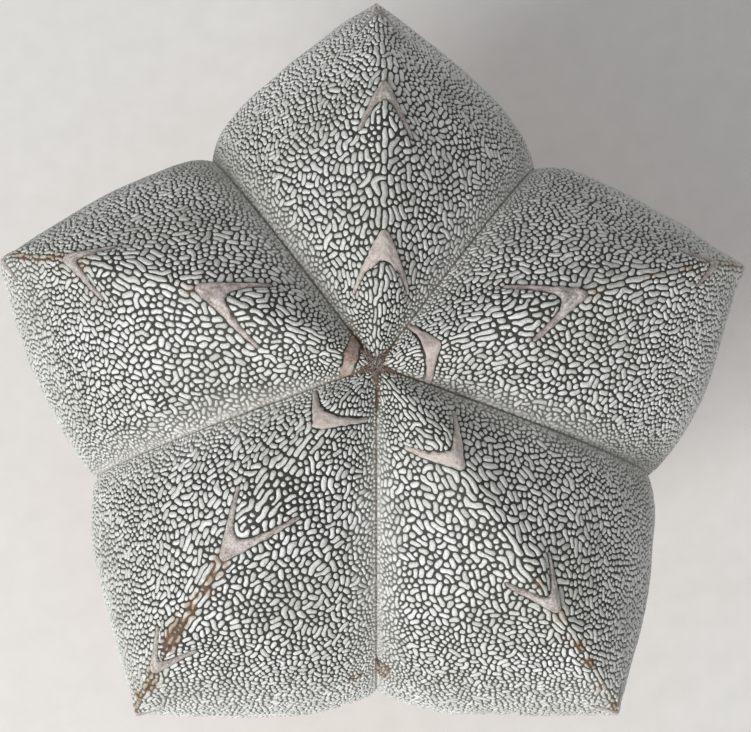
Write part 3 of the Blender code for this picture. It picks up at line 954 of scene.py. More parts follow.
def grow_apex(fibre_count):
    """The woolly heart of the plant: a lumpy cushion of felt with dried hairs lying over it."""
    rng = np.random.default_rng(17)
    centre = np.array([0.0, 0.0, SOIL_LEVEL + CREST_PROFILE[0, 1]])
    points = [centre + (0.0, 0.0, 0.25)]
    for ring in range(1, APEX_RINGS + 1):
        share = ring / APEX_RINGS
        for spoke in range(APEX_SPOKES):
            azimuth = math.tau * spoke / APEX_SPOKES
            lobes = 0.5 + 0.5 * math.cos(RIB_COUNT * (azimuth - FIRST_RIB - RIB_STEP / 2.0))
            radius = share * (1.15 + 1.35 * lobes**3)
            cushion = 0.50 * math.sqrt(max(0.0, 1.0 - share**2))
            cushion -= 0.45 * math.exp(-(share / 0.3) ** 2)
            x = radius * math.cos(azimuth)
            y = radius * math.sin(azimuth)
            lump = noise.fractal(Vector((x, y, 3.0)) * 1.7, 0.8, 2.2, 4)
            lift = cushion * (0.75 + 0.5 * lump) + 0.10 * lobes - 0.35 * share**3
            points.append(centre + (x, y, lift + 0.22 * radius * (1.0 - lobes)))
    faces = [(0, 1 + s, 1 + (s + 1) % APEX_SPOKES) for s in range(APEX_SPOKES)]
    for ring in range(APEX_RINGS - 1):
        near = 1 + ring * APEX_SPOKES
        far = near + APEX_SPOKES
        for s in range(APEX_SPOKES):
            t = (s + 1) % APEX_SPOKES
            faces.append((near + s, far + s, far + t, near + t))
    rim = 1 + (APEX_RINGS - 1) * APEX_SPOKES
    faces.append(tuple(range(rim + APEX_SPOKES - 1, rim - 1, -1)))
    shade = [0.0] * len(points)
    for _ in range(fibre_count):
        azimuth = rng.uniform(0.0, math.tau)
        radius = 1.45 * rng.random()
        start = centre + (radius * math.cos(azimuth), radius * math.sin(azimuth), 0.25)
        heading = rng.uniform(0.0, math.tau)
        length = rng.uniform(0.6, 1.7)
        thick = rng.uniform(0.020, 0.042)
        curl = rng.uniform(-1.4, 1.4)
        tone = rng.random()
        first = len(points)
        for step in range(FIBRE_STEPS + 1):
            part = step / FIBRE_STEPS
            turn = heading + curl * part
            start = start + np.array([math.cos(turn), math.sin(turn), 0.0]) * length / FIBRE_STEPS
            lift = 0.35 * math.sin(math.pi * (0.2 + 0.75 * part)) * length / 2.0
            girth = thick * (1.0 - 0.75 * part)
            for corner in range(3):
                angle = math.tau * corner / 3.0
                side = np.array([-math.sin(turn), math.cos(turn), 0.0]) * math.cos(angle)
                points.append(start + side * girth + (0.0, 0.0, lift + girth * math.sin(angle)))
                shade.append(0.35 + 0.65 * tone)
        for step in range(FIBRE_STEPS):
            near = first + 3 * step
            for corner in range(3):
                other = (corner + 1) % 3
                faces.append((near + other, near + 3 + other, near + 3 + corner, near + corner))
        faces.append((first + 2, first + 1, first))
        end = first + 3 * FIBRE_STEPS
        faces.append((end, end + 1, end + 2))
    return build_mesh("apex_wool", np.array(points), faces, (("shade", shade),))


# The pot's outline as (radius, height, radius of the rounded corner), from the middle of the
# hollowed underside over the foot, the wall and the rim to the middle of the floor.
POT_OUTLINE = [
    (0.0, 0.9, 0.0), (20.6, 0.9, 0.6), (21.6, 0.0, 0.5), (25.0, 0.0, 0.9), (33.15, 48.0, 0.6),
    (35.5, 48.0, 0.9), (36.0, 62.0, 0.95), (32.6, 62.0, 0.8), (21.6, 5.0, 1.8), (0.0, 5.0, 0.0),
]
POT_STEP = 1.3
POT_SPOKES = 216
RIM_TOP = 62.0
COLLAR_FOOT = 48.2
FLAT_MIDDLE = 5.0  # the radius within which its foot and its floor stay even
OUTER_WALL = 34.6  # the radius from which its rim and collar chip
RING_DEPTH = 0.05  # the marks of the fingers, and the small dents
DENT_DEPTH = 0.05
CHIP_RARITY = 0.36  # only noise above this chips the clay
CHIP_CUT = 1.5  # how far such noise cuts inwards, and how far down
CHIP_DROP = 0.9
DRAIN_HOLES = 3
DRAIN_CIRCLE = 12.5
DRAIN_OUTLINE = [
    (0.0, -2.0, 0.0), (4.4, -2.0, 0.2), (4.2, 0.9, 0.2), (3.5, 1.5, 0.4), (3.5, 4.4, 0.4),
    (4.2, 5.1, 0.2), (4.4, 8.0, 0.2), (0.0, 8.0, 0.0),
]
SLIVER = 0.01  # the shortest edge that is kept round a drilled hole
INNER_FOOT = 21.6
INNER_FLOOR = 5.0
INNER_SLOPE = 11.0 / 57.0  # how much wider the inside grows with each millimetre of height
MIX_CLEARANCE = 0.35
MIX_RINGS = 46
MIX_SPOKES = 400
MIX_AZIMUTHS = np.arange(MIX_SPOKES) * math.tau / MIX_SPOKES
HIDDEN_MIX = np.full(MIX_SPOKES, 0.3)  # the tone of the mix under the crumbs
SOCKET_STATIONS = (15.6, 14.5, 13.4, 12.7, 12.2)
SOCKET_GAP = 0.12  # between the plant and its socket, beside it and below it
SOCKET_DROP = 0.35
MIX_LIFT = 0.5  # off the pot's floor
WALL_ROWS = 14
SANDSTONE_GRAIN = 0.55
GRANITE_GRAIN = 0.7
GRIT_SIZES = (0.32, 1.1)
STONE_WEAR = 0.14  # the width of its worn edges
STONE_DENT = 0.10  # how deep a stone's broad dents and its small pits are
STONE_PIT = 0.06
STONE_SINK = 0.05


def select_only(piece):
    """Selects one piece and nothing else, for the operators."""
    bpy.ops.object.select_all(action="DESELECT")
    piece.select_set(True)
    bpy.context.view_layer.objects.active = piece


def spin_outline(name, outline, step, spokes):
    """Turns an outline round the upright axis, with its corners rounded and its runs cut finer."""
    line = [np.array(outline[0][:2])]
    for before, corner, after in zip(outline, outline[1:], outline[2:]):
        middle = np.array(corner[:2])
        back = np.array(before[:2]) - middle
        onward = np.array(after[:2]) - middle
        start = middle + back / np.linalg.norm(back) * corner[2]
        end = middle + onward / np.linalg.norm(onward) * corner[2]
        for part in np.linspace(0.0, 1.0, 6):
            line.append((1 - part) ** 2 * start + 2 * part * (1 - part) * middle + part**2 * end)
    line.append(np.array(outline[-1][:2]))
    places = [line[0]]
    for start, end in zip(line, line[1:]):
        pieces = max(1, round(np.linalg.norm(end - start) / step))
        places += [start + (end - start) * part / pieces for part in range(1, pieces + 1)]
    mesh = bpy.data.meshes.new(name)
    mesh.from_pydata([(r * MM, 0.0, z * MM) for r, z in places],
                     [(i, i + 1) for i in range(len(places) - 1)], [])
    piece = bpy.data.objects.new(name, mesh)
    bpy.context.scene.collection.objects.link(piece)
    select_only(piece)
    bpy.ops.object.mode_set(mode="EDIT")
    bpy.ops.mesh.select_all(action="SELECT")
    bpy.ops.mesh.spin(steps=spokes, angle=math.tau, center=(0, 0, 0), axis=(0, 0, 1))
    bpy.ops.mesh.select_all(action="SELECT")
    bpy.ops.mesh.remove_doubles(threshold=0.00001)
    bpy.ops.mesh.normals_make_consistent(inside=False)
    bpy.ops.object.mode_set(mode="OBJECT")
    return piece


def throw_pot(unevenness):
    """Spins the pot, drills its drain holes and leaves the hand's rings, dents and worn chips."""
    pot = spin_outline("pot_clay", POT_OUTLINE, POT_STEP, POT_SPOKES)
    for vertex in pot.data.vertices:
        x, y, z = vertex.co / MM
        radius = math.hypot(x, y)
        if radius < FLAT_MIDDLE:
            continue
        warp = noise.noise(Vector((x, y, z * 0.6)) / 26.0) * unevenness
        rings = noise.noise(Vector((x / 60.0, y / 60.0, z / 1.9))) * RING_DEPTH
        dent = noise.noise(Vector((x, y, z)) / 4.5) * DENT_DEPTH
        chip = noise.noise(Vector((x, y, z)) / 3.2 + Vector((7.1, 0.0, 0.0))) - CHIP_RARITY
        chip = max(0.0, chip)
        chip *= math.exp(-((z - RIM_TOP) / 0.9) ** 2) + math.exp(-((z - COLLAR_FOOT) / 0.7) ** 2)
        out = (warp + rings + dent - CHIP_CUT * chip * (radius > OUTER_WALL)) / radius
        vertex.co.x += x * out * MM
        vertex.co.y += y * out * MM
        vertex.co.z -= CHIP_DROP * chip * (z > 55.0) * MM
    for number in range(DRAIN_HOLES):
        azimuth = FIRST_RIB + math.tau * number / DRAIN_HOLES
        drill = spin_outline("drill", DRAIN_OUTLINE, 2.0, 48)
        for vertex in drill.data.vertices:
            vertex.co.x += DRAIN_CIRCLE * math.cos(azimuth) * MM
            vertex.co.y += DRAIN_CIRCLE * math.sin(azimuth) * MM
        select_only(pot)
        hole = pot.modifiers.new("drain_hole", "BOOLEAN")
        hole.operation = "DIFFERENCE"
        hole.object = drill
        bpy.ops.object.modifier_apply(modifier=hole.name)
        bpy.data.objects.remove(drill)
    drop_slivers(pot)
    bpy.ops.object.shade_smooth_by_angle(angle=math.radians(35.0))
    return pot


def drop_slivers(piece):
    """Merges the corners and edges, finer than a grain of the clay, that the drilling left."""
    mesh = bmesh.new()
    mesh.from_mesh(piece.data)
    bmesh.ops.remove_doubles(mesh, verts=mesh.verts, dist=SLIVER * MM)
    bmesh.ops.triangulate(mesh, faces=[face for face in mesh.faces if len(face.verts) > 4])
    bmesh.ops.dissolve_degenerate(mesh, edges=mesh.edges, dist=SLIVER * MM)
    mesh.to_mesh(piece.data)
    mesh.free()


def crumb(x, y):
    """How far the potting mix rises at a place, and its crumb's own tone."""
    place = Vector((x, y, 0.0))
    height = 0.35 * noise.noise(place / 7.0) - 0.35
    tone = 0.2
    for size, rise, seed in ((1.7, 0.75, 3.0), (0.85, 0.38, 9.0)):
        gaps, centres = noise.voronoi(place / size + Vector((seed, 0.0, 0.0)))
        lump = math.sqrt(max(0.0, 1.0 - (gaps[0] / 0.62) ** 2))
        own = noise.cell(centres[0] * 7.0)
        height += rise * lump * (0.25 + 0.75 * own)
        tone += lump * (own - tone) * (0.3 + 0.7 * own)
    return height + 0.12 * noise.noise(place / 0.4), tone


def inner_radius(height):
    """The inside of the pot at a height, less the mix's clearance."""
    return INNER_FOOT + (height - INNER_FLOOR) * INNER_SLOPE - MIX_CLEARANCE


def plant_ring(station, grow):
    """The plant's outline at one station: its radius and height at each of the mix's spokes."""
    ring = np.vstack([flank_surface(rib, np.array([station]), np.linspace(-1.0, 0.99, 60))[0]
                      for rib in range(RIB_COUNT)])
    turn = np.arctan2(ring[:, 1], ring[:, 0]) % math.tau
    radius = np.hypot(ring[:, 0], ring[:, 1]) + grow
    return (np.interp(MIX_AZIMUTHS, turn, radius, period=math.tau),
            np.interp(MIX_AZIMUTHS, turn, ring[:, 2], period=math.tau))


def fill_mix():
    """The potting mix: crumbs between plant and pot, over a plain closed body with a socket."""
    rows = []
    shade = []
    for station in SOCKET_STATIONS:
        radius, height = plant_ring(station, SOCKET_GAP)
        rows.append((radius, height - SOCKET_DROP))
        shade.append(HIDDEN_MIX)
    inner, _ = plant_ring(SOIL_STATION, SOCKET_GAP)
    outer = inner_radius(SOIL_LEVEL)
    for share in np.linspace(0.0, 1.0, MIX_RINGS):
        radius = inner + (outer - inner) * share
        rise, tone = np.array([
            crumb(r * math.cos(a), r * math.sin(a)) for r, a in zip(radius, MIX_AZIMUTHS)]).T
        by_edge = min(1.0, share * 12.0, (1.0 - share) * 14.0 + 0.15)
        rows.append((radius, SOIL_LEVEL + rise * by_edge - 0.1))
        shade.append(tone)
    for height in np.linspace(SOIL_LEVEL - 1.5, INNER_FLOOR + MIX_LIFT, WALL_ROWS):
        rows.append((np.full(MIX_SPOKES, inner_radius(height)), np.full(MIX_SPOKES, height)))
        shade.append(HIDDEN_MIX)
    points = [np.stack([r * np.cos(MIX_AZIMUTHS), r * np.sin(MIX_AZIMUTHS), h], 1)
              for r, h in rows]
    points = np.vstack([*points, [(0.0, 0.0, SOIL_LEVEL + CREST_PROFILE[-1, 1] - SOCKET_DROP),
                                  (0.0, 0.0, INNER_FLOOR + MIX_LIFT)]])
    first = len(rows) * MIX_SPOKES
    last = first - MIX_SPOKES
    faces = []
    for i in range(MIX_SPOKES):
        j = (i + 1) % MIX_SPOKES
        for near in range(0, last, MIX_SPOKES):
            far = near + MIX_SPOKES
            faces.append((near + i, far + i, far + j, near + j))
        faces.append((first, i, j))
        faces.append((first + 1, last + j, last + i))
    return build_mesh("mix_crumbs", points, faces,
                      (("shade", np.concatenate([*shade, HIDDEN_MIX[:2]])),))


def weather_stone(node, number):
    """A grit stone cut from its CAD solid: its edges worn, its faces pitted."""
    stone = node.copy()
    stone.data = node.data.copy()
    stone.name = f"stone_{number:02d}"
    stone.parent = None
    for key in list(stone.keys()):
        del stone[key]
    bpy.context.scene.collection.objects.link(stone)
    select_only(stone)
    bpy.ops.object.mode_set(mode="EDIT")
    bpy.ops.mesh.select_all(action="SELECT")
    bpy.ops.mesh.remove_doubles(threshold=0.000005)
    bpy.ops.object.mode_set(mode="OBJECT")
    worn = stone.modifiers.new("worn_edges", "BEVEL")
    worn.width = STONE_WEAR * MM
    worn.segments = 1
    worn.limit_method = "ANGLE"
    worn.angle_limit = math.radians(12.0)
    finer = stone.modifiers.new("finer", "SUBSURF")
    finer.subdivision_type = "SIMPLE"
    finer.levels = 2
    finer.render_levels = 2
    for modifier in (worn, finer):
        bpy.ops.object.modifier_apply(modifier=modifier.name)
    shift = Vector((number * 3.7, 0.0, 0.0))
    normals = [vertex.normal.copy() for vertex in stone.data.vertices]
    for vertex, normal in zip(stone.data.vertices, normals):
        place = vertex.co / MM
        pit = STONE_DENT * noise.noise(place / 0.9 + shift)
        pit += STONE_PIT * noise.noise(place / 0.35 + shift)
        vertex.co += normal * (pit - STONE_SINK) * MM
    bpy.ops.object.shade_smooth_by_angle(angle=math.radians(40.0))
    return stone


def strew(name, count, sizes, seed, keep_off):
    """Fine grit on the mix: each grain a squashed and turned copy of one rough lump."""
    rng = np.random.default_rng(seed)
    bpy.ops.object.select_all(action="DESELECT")
    bpy.ops.mesh.primitive_uv_sphere_add(segments=7, ring_count=5, radius=1.0)
    lump = bpy.context.object
    base = np.array([vertex.co for vertex in lump.data.vertices])
    base_faces = [tuple(polygon.vertices) for polygon in lump.data.polygons]
    bpy.data.objects.remove(lump)
    plant, _ = plant_ring(SOIL_STATION, 0.0)
    points = []
    faces = []
    while len(points) < count:
        size = sizes[0] + (sizes[1] - sizes[0]) * rng.random() ** 2
        azimuth = rng.uniform(0.0, math.tau)
        inner = np.interp(azimuth, MIX_AZIMUTHS, plant, period=math.tau) + size * 0.6
        radius = rng.uniform(inner, inner_radius(SOIL_LEVEL) - size)
        x = radius * math.cos(azimuth)
        y = radius * math.sin(azimuth)
        if any(math.hypot(x - a, y - b) < c + 0.6 * size for a, b, c in keep_off):
            continue
        rough = base * (1.0 + rng.uniform(-0.22, 0.22, (len(base), 1)))
        rough = rough * rng.uniform((0.8, 0.65, 0.5), (1.2, 1.0, 0.8)) * size
        tilt = rng.normal(0.0, 0.35, 2)
        heading = rng.uniform(0.0, math.tau)
        turn = np.array((Matrix.Rotation(heading, 3, "Z") @ Matrix.Rotation(tilt[0], 3, "X")
                         @ Matrix.Rotation(tilt[1], 3, "Y")))
        first = len(points) * len(base)
        points.append(rough @ turn.T + (x, y, SOIL_LEVEL + crumb(x, y)[0] + 0.3 * size))
        faces += [tuple(first + i for i in face) for face in base_faces]
    piece = build_mesh(name, np.vstack(points), faces)
    select_only(piece)
    bpy.ops.object.shade_smooth_by_angle(angle=math.radians(38.0))
    return piece


def add(tree, kind, inputs=None, stops=(), **settings):
    """Adds one node. Each input is a value or the socket that feeds it, and stops fill a ramp."""
    node = tree.nodes.new("ShaderNode" + kind)
    for name, value in settings.items():
        setattr(node, name, value)
    for number, (place, colour) in enumerate(stops):
        element = node.color_ramp.elements
        stop = element[number] if number < 2 else element.new(place)
        stop.position = place
        stop.color = srgb(colour) if isinstance(colour, str) else tuple(colour)
    for name, value in (inputs or {}).items():
        socket = node.inputs[name]
        if isinstance(value, bpy.types.NodeSocket):
            tree.links.new(value, socket)
        else:
            socket.default_value = value
    return node


def per_metre(size):
    """The noise scale whose lumps are about that many millimetres wide."""
    return 1.0 / (size * MM)


def start_material(name, roughness, sheen=0.0, specular=0.5):
    """A new material with its shader's plain settings, its tree and its Object coordinates."""
    material = bpy.data.materials.new(name)
    material.use_nodes = True
    tree = material.node_tree
    shader = tree.nodes["Principled BSDF"]
    shader.inputs["Roughness"].default_value = roughness
    shader.inputs["Sheen Weight"].default_value = sheen
    shader.inputs["Specular IOR Level"].default_value = specular
    return material, tree, add(tree, "TexCoord").outputs["Object"]


def finish_material(tree, colour, height, depth):
    """Feeds the shader its colour, and roughens the surface by that many millimetres."""
    shader = tree.nodes["Principled BSDF"]
    tree.links.new(colour, shader.inputs["Base Color"])
    relief = add(tree, "Bump", {"Height": height, "Distance": depth * MM, "Strength": 1.0})
    tree.links.new(relief.outputs["Normal"], shader.inputs["Normal"])


def make_dry_skin(colours):
    """Waxy plant epidermis, old and dry: olive black, matt, corky brown where it has aged."""
    material, tree, place = start_material("dry_epidermis", 0.62, specular=0.35)
    # The skin's own grain is some 0.05 mm, too fine to show, and is drawn about six times coarser.
    fine = add(tree, "TexNoise", {"Vector": place, "Scale": per_metre(0.30), "Detail": 4.0,
                                  "Roughness": 0.65}).outputs["Fac"]
    broad = add(tree, "TexNoise", {"Vector": place, "Scale": per_metre(9.0)}).outputs["Fac"]
    green = add(tree, "Mix", {0: fine, 6: colours.skin_dark, 7: colours.skin_light},
                data_type="RGBA").outputs[2]
    tone = add(tree, "ValToRGB", {"Fac": broad}, [(0.3, "#D8D8D0"), (0.7, "#FFFFFF")]).outputs[0]
    green = add(tree, "Mix", {0: 1.0, 6: green, 7: tone}, data_type="RGBA",
                blend_type="MULTIPLY").outputs[2]
    # Beside the grooves the wool thins out to a pale scurf that covers the skin.
    scurf = add(tree, "Attribute", attribute_name="scurf").outputs["Fac"]
    scurf = add(tree, "MapRange", {"Value": scurf, "To Max": 0.85}).outputs[0]
    dusty = add(tree, "Mix", {0: fine, 6: colours.scurf_dark, 7: colours.scurf_light},
                data_type="RGBA").outputs[2]
    green = add(tree, "Mix", {0: scurf, 6: green, 7: dusty}, data_type="RGBA").outputs[2]
    cork = add(tree, "Attribute", attribute_name="cork").outputs["Fac"]
    speckle = add(tree, "TexNoise", {"Vector": place, "Scale": per_metre(0.55), "Detail": 5.0,
                                     "Roughness": 0.7}).outputs["Fac"]
    brown = add(tree, "ValToRGB", {"Fac": speckle},
                [(0.30, "#2B231B"), (0.52, "#584839"), (0.72, "#8E735A")]).outputs[0]
    ragged = add(tree, "MapRange", {"Value": speckle, "From Min": 0.3, "From Max": 0.7,
                                    "To Min": -0.22, "To Max": 0.22}).outputs[0]
    edge = add(tree, "Math", {0: cork, 1: ragged}, operation="ADD").outputs[0]
    share = add(tree, "MapRange", {"Value": edge, "From Min": 0.22, "From Max": 0.75}).outputs[0]
    skin = add(tree, "Mix", {0: share, 6: green, 7: brown}, data_type="RGBA").outputs[2]
    finish_material(tree, skin, fine, 0.05)
    return material


def make_wool(colours):
    """Short wool hairs packed into flecks: soft, matt, off-white, yellowed where they weather."""
    material, tree, place = start_material("flocked_wool", 0.92, sheen=0.15, specular=0.15)
    # A hair is some 0.02 mm thick, too fine to show, so the nap is drawn about ten times coarser.
    hairs = add(tree, "TexNoise", {"Vector": place, "Scale": per_metre(0.20), "Detail": 4.0,
                                   "Roughness": 0.75}).outputs["Fac"]
    broad = add(tree, "TexNoise", {"Vector": place, "Scale": per_metre(11.0)}).outputs["Fac"]
    shade = add(tree, "Attribute", attribute_name="shade").outputs["Fac"]
    cork = add(tree, "Attribute", attribute_name="cork").outputs["Fac"]
    white = colours.wool
    for value, stops in ((hairs, [(0.30, "#BDBCB8"), (0.58, "#FFFFFF")]),
                         (shade, [(0.0, "#E1E1DE"), (0.25, "#F3F3F1"), (1.0, "#FFFFFF")]),
                         (broad, [(0.32, "#ECECE8"), (0.62, "#FFFFFF")])):
        tone = add(tree, "ValToRGB", {"Fac": value}, stops).outputs[0]
        white = add(tree, "Mix", {0: 1.0, 6: white, 7: tone}, data_type="RGBA",
                    blend_type="MULTIPLY").outputs[2]
    share = add(tree, "MapRange", {"Value": cork, "From Min": 0.18, "From Max": 0.85,
                                   "To Max": 0.92}).outputs[0]
    stained = add(tree, "Mix", {0: hairs, 6: colours.wool_stained_dark, 7: colours.wool_stained},
                  data_type="RGBA").outputs[2]
    wool = add(tree, "Mix", {0: share, 6: white, 7: stained}, data_type="RGBA").outputs[2]
    finish_material(tree, wool, hairs, 0.04)
    return material


def make_felt(colours):
    """Dense areole felt: matted pinkish-grey hairs with a darker weathered nap."""
    material, tree, place = start_material("areole_felt", 0.95, sheen=0.2, specular=0.1)
    # The felt's hairs are as fine as the flecks', and are drawn about ten times coarser as well.
    nap = add(tree, "TexNoise", {"Vector": place, "Scale": per_metre(0.22), "Detail": 5.0,
                                 "Roughness": 0.72}).outputs["Fac"]
    patch = add(tree, "TexNoise", {"Vector": place, "Scale": per_metre(1.3),
                                   "Detail": 3.0}).outputs["Fac"]
    tufts = add(tree, "MapRange", {"Value": nap, "From Min": 0.36, "From Max": 0.64,
                                   "To Min": 0.24, "To Max": 0.76}).outputs[0]
    # The nap attribute also holds painted shade: it is darker along each areole's rim.
    combed = add(tree, "Attribute", attribute_name="nap").outputs["Fac"]
    lay = add(tree, "Math", {0: tufts, 1: combed}, operation="ADD").outputs[0]
    grey = add(tree, "ValToRGB", {"Fac": lay}, [
        (0.35, "#655F5A"), (0.58, "#9C9590"), (0.76, "#BDB5B0"), (0.98, "#E2DCD7")]).outputs[0]
    blush = add(tree, "Mix", {0: patch, 6: colours.felt_warm, 7: colours.felt_cool},
                data_type="RGBA").outputs[2]
    grey = add(tree, "Mix", {0: 0.25, 6: grey, 7: blush}, data_type="RGBA").outputs[2]
    cork = add(tree, "Attribute", attribute_name="cork").outputs["Fac"]
    brown = add(tree, "ValToRGB", {"Fac": nap},
                [(0.30, "#5F4D42"), (0.52, "#957D6F"), (0.72, "#C6B2A5")]).outputs[0]
    share = add(tree, "Math", {0: cork, 1: patch}, operation="MULTIPLY").outputs[0]
    share = add(tree, "MapRange", {"Value": share, "From Min": 0.05, "From Max": 0.55}).outputs[0]
    felt = add(tree, "Mix", {0: share, 6: grey, 7: brown}, data_type="RGBA").outputs[2]
    finish_material(tree, felt, nap, 0.09)
    return material


def make_apex_wool(colours):
    """The growing point's dried hairs: brown felt under straw-grey and reddish fibres."""
    material, tree, place = start_material("dried_apex_wool", 0.95, sheen=0.15, specular=0.1)
    # Its short hairs are too fine to show as well, and are drawn about ten times coarser.
    nap = add(tree, "TexNoise", {"Vector": place, "Scale": per_metre(0.20), "Detail": 5.0,
                                 "Roughness": 0.7}).outputs["Fac"]
    patch = add(tree, "TexNoise", {"Vector": place, "Scale": per_metre(0.9),
                                   "Detail": 3.0}).outputs["Fac"]
    felt = add(tree, "ValToRGB", {"Fac": nap},
               [(0.28, "#34271F"), (0.52, "#6F584C"), (0.74, "#9A8372")]).outputs[0]
    share = add(tree, "MapRange", {"Value": patch, "From Min": 0.52, "From Max": 0.66,
                                   "To Max": 0.55}).outputs[0]
    red = add(tree, "Mix", {0: share, 6: felt, 7: colours.apex_red}, data_type="RGBA").outputs[2]
    shade = add(tree, "Attribute", attribute_name="shade").outputs["Fac"]
    straw = add(tree, "ValToRGB", {"Fac": shade},
                [(0.35, "#6F6A60"), (0.7, "#A39C8F"), (1.0, "#CFCABD")]).outputs[0]
    on_hair = add(tree, "MapRange", {"Value": shade, "From Min": 0.1, "From Max": 0.3}).outputs[0]
    wool = add(tree, "Mix", {0: on_hair, 6: red, 7: straw}, data_type="RGBA").outputs[2]
    finish_material(tree, wool, nap, 0.08)
    return material


def make_terracotta(colours):
    """Unglazed red earthenware, thrown and fired low: matt, open-pored, clouded by the kiln.

    Lime from the water has dried as a white bloom above the foot and under the collar.
    """
    material, tree, place = start_material("terracotta", 0.90, specular=0.22)
    grain = add(tree, "TexNoise", {"Vector": place, "Scale": per_metre(0.7), "Detail": 6.0,
                                   "Roughness": 0.72}).outputs["Fac"]
    cloud = add(tree, "TexNoise", {"Vector": place, "Scale": per_metre(22.0), "Detail": 3.0,
                                   "Roughness": 0.6}).outputs["Fac"]
    clay = add(tree, "MapRange", {"Value": cloud, "From Min": 0.34, "From Max": 0.66}).outputs[0]
    clay = add(tree, "Mix", {0: clay, 6: colours.clay_dark, 7: colours.clay_light},
               data_type="RGBA").outputs[2]
    # Fingers drag the wet clay round the pot: long thin streaks, level with the wheel.
    drawn = add(tree, "Mapping", {"Vector": place, "Scale": (0.12, 0.12, 1.6)}).outputs[0]
    streak = add(tree, "TexNoise", {"Vector": drawn, "Scale": per_metre(1.9), "Detail": 4.0,
                                    "Roughness": 0.6}).outputs["Fac"]
    for value, stops in ((grain, [(0.28, "#C9C4C0"), (0.55, "#FFFFFF")]),
                         (streak, [(0.34, "#EBE8E6"), (0.62, "#FFFFFF")])):
        tone = add(tree, "ValToRGB", {"Fac": value}, stops).outputs[0]
        clay = add(tree, "Mix", {0: 1.0, 6: clay, 7: tone}, data_type="RGBA",
                   blend_type="MULTIPLY").outputs[2]
    height = add(tree, "SeparateXYZ", {"Vector": place}).outputs["Z"]
    bands = [(0.0, "#3A3A3A"), (0.10, "#9A9A9A"), (0.26, "#303030"), (0.62, "#202020"),
             (0.735, "#787878"), (0.79, "#1A1A1A"), (0.96, "#3A3A3A")]
    share = add(tree, "MapRange", {"Value": height, "From Max": 62.0 * MM}).outputs[0]
    band = add(tree, "ValToRGB", {"Fac": share}, bands).outputs[0]
    crust = add(tree, "TexNoise", {"Vector": place, "Scale": per_metre(7.0), "Detail": 6.0,
                                   "Roughness": 0.68, "Distortion": 0.4}).outputs["Fac"]
    crust = add(tree, "MapRange", {"Value": crust, "From Min": 0.40, "From Max": 0.68,
                                   "To Max": 1.3}).outputs[0]
    bloom = add(tree, "Math", {0: band, 1: crust}, operation="MULTIPLY").outputs[0]
    powder = add(tree, "MapRange", {"Value": grain, "From Min": 0.3, "From Max": 0.6,
                                    "To Min": 0.45, "To Max": 1.0}).outputs[0]
    bloom = add(tree, "Math", {0: bloom, 1: powder}, operation="MULTIPLY",
                use_clamp=True).outputs[0]
    clay = add(tree, "Mix", {0: bloom, 6: clay, 7: colours.lime}, data_type="RGBA").outputs[2]
    # Pores: the bump sinks them, and their colour is darkened as painted shade inside them.
    pits = add(tree, "TexVoronoi", {"Vector": place, "Scale": per_metre(2.1),
                                    "Randomness": 1.0}).outputs["Distance"]
    pits = add(tree, "MapRange", {"Value": pits, "From Min": 0.06, "From Max": 0.16,
                                  "To Min": 0.0, "To Max": 1.0}).outputs[0]
    dark = add(tree, "ValToRGB", {"Fac": pits}, [(0.0, "#7A4A38"), (1.0, "#FFFFFF")]).outputs[0]
    clay = add(tree, "Mix", {0: 0.6, 6: clay, 7: dark}, data_type="RGBA",
               blend_type="MULTIPLY").outputs[2]
    rough = add(tree, "Math", {0: grain, 1: pits}, operation="MULTIPLY").outputs[0]
    rough = add(tree, "Math", {0: rough, 1: streak}, operation="ADD").outputs[0]
    finish_material(tree, clay, rough, 0.12)
    return material


def make_mix_crumbs(colours):
    """Coir and bark crumbs with pumice dust: dark, dry and dull, each crumb a tone of its own."""
    material, tree, place = start_material("coir_and_pumice", 0.96, specular=0.1)
    tone = add(tree, "Attribute", attribute_name="shade").outputs["Fac"]
    fibre = add(tree, "TexNoise", {"Vector": place, "Scale": per_metre(0.5), "Detail": 6.0,
                                   "Roughness": 0.75}).outputs["Fac"]
    crumb = add(tree, "ValToRGB", {"Fac": tone}, [
        (0.0, colours.mix_dark), (0.45, colours.mix_brown), (0.78, "#6B553F"),
        (0.93, colours.pumice)]).outputs[0]
    dust = add(tree, "ValToRGB", {"Fac": fibre}, [(0.30, "#8A827A"), (0.62, "#FFFFFF")]).outputs[0]
    soil = add(tree, "Mix", {0: 1.0, 6: crumb, 7: dust}, data_type="RGBA",
               blend_type="MULTIPLY").outputs[2]
    finish_material(tree, soil, fibre, 0.18)
    return material


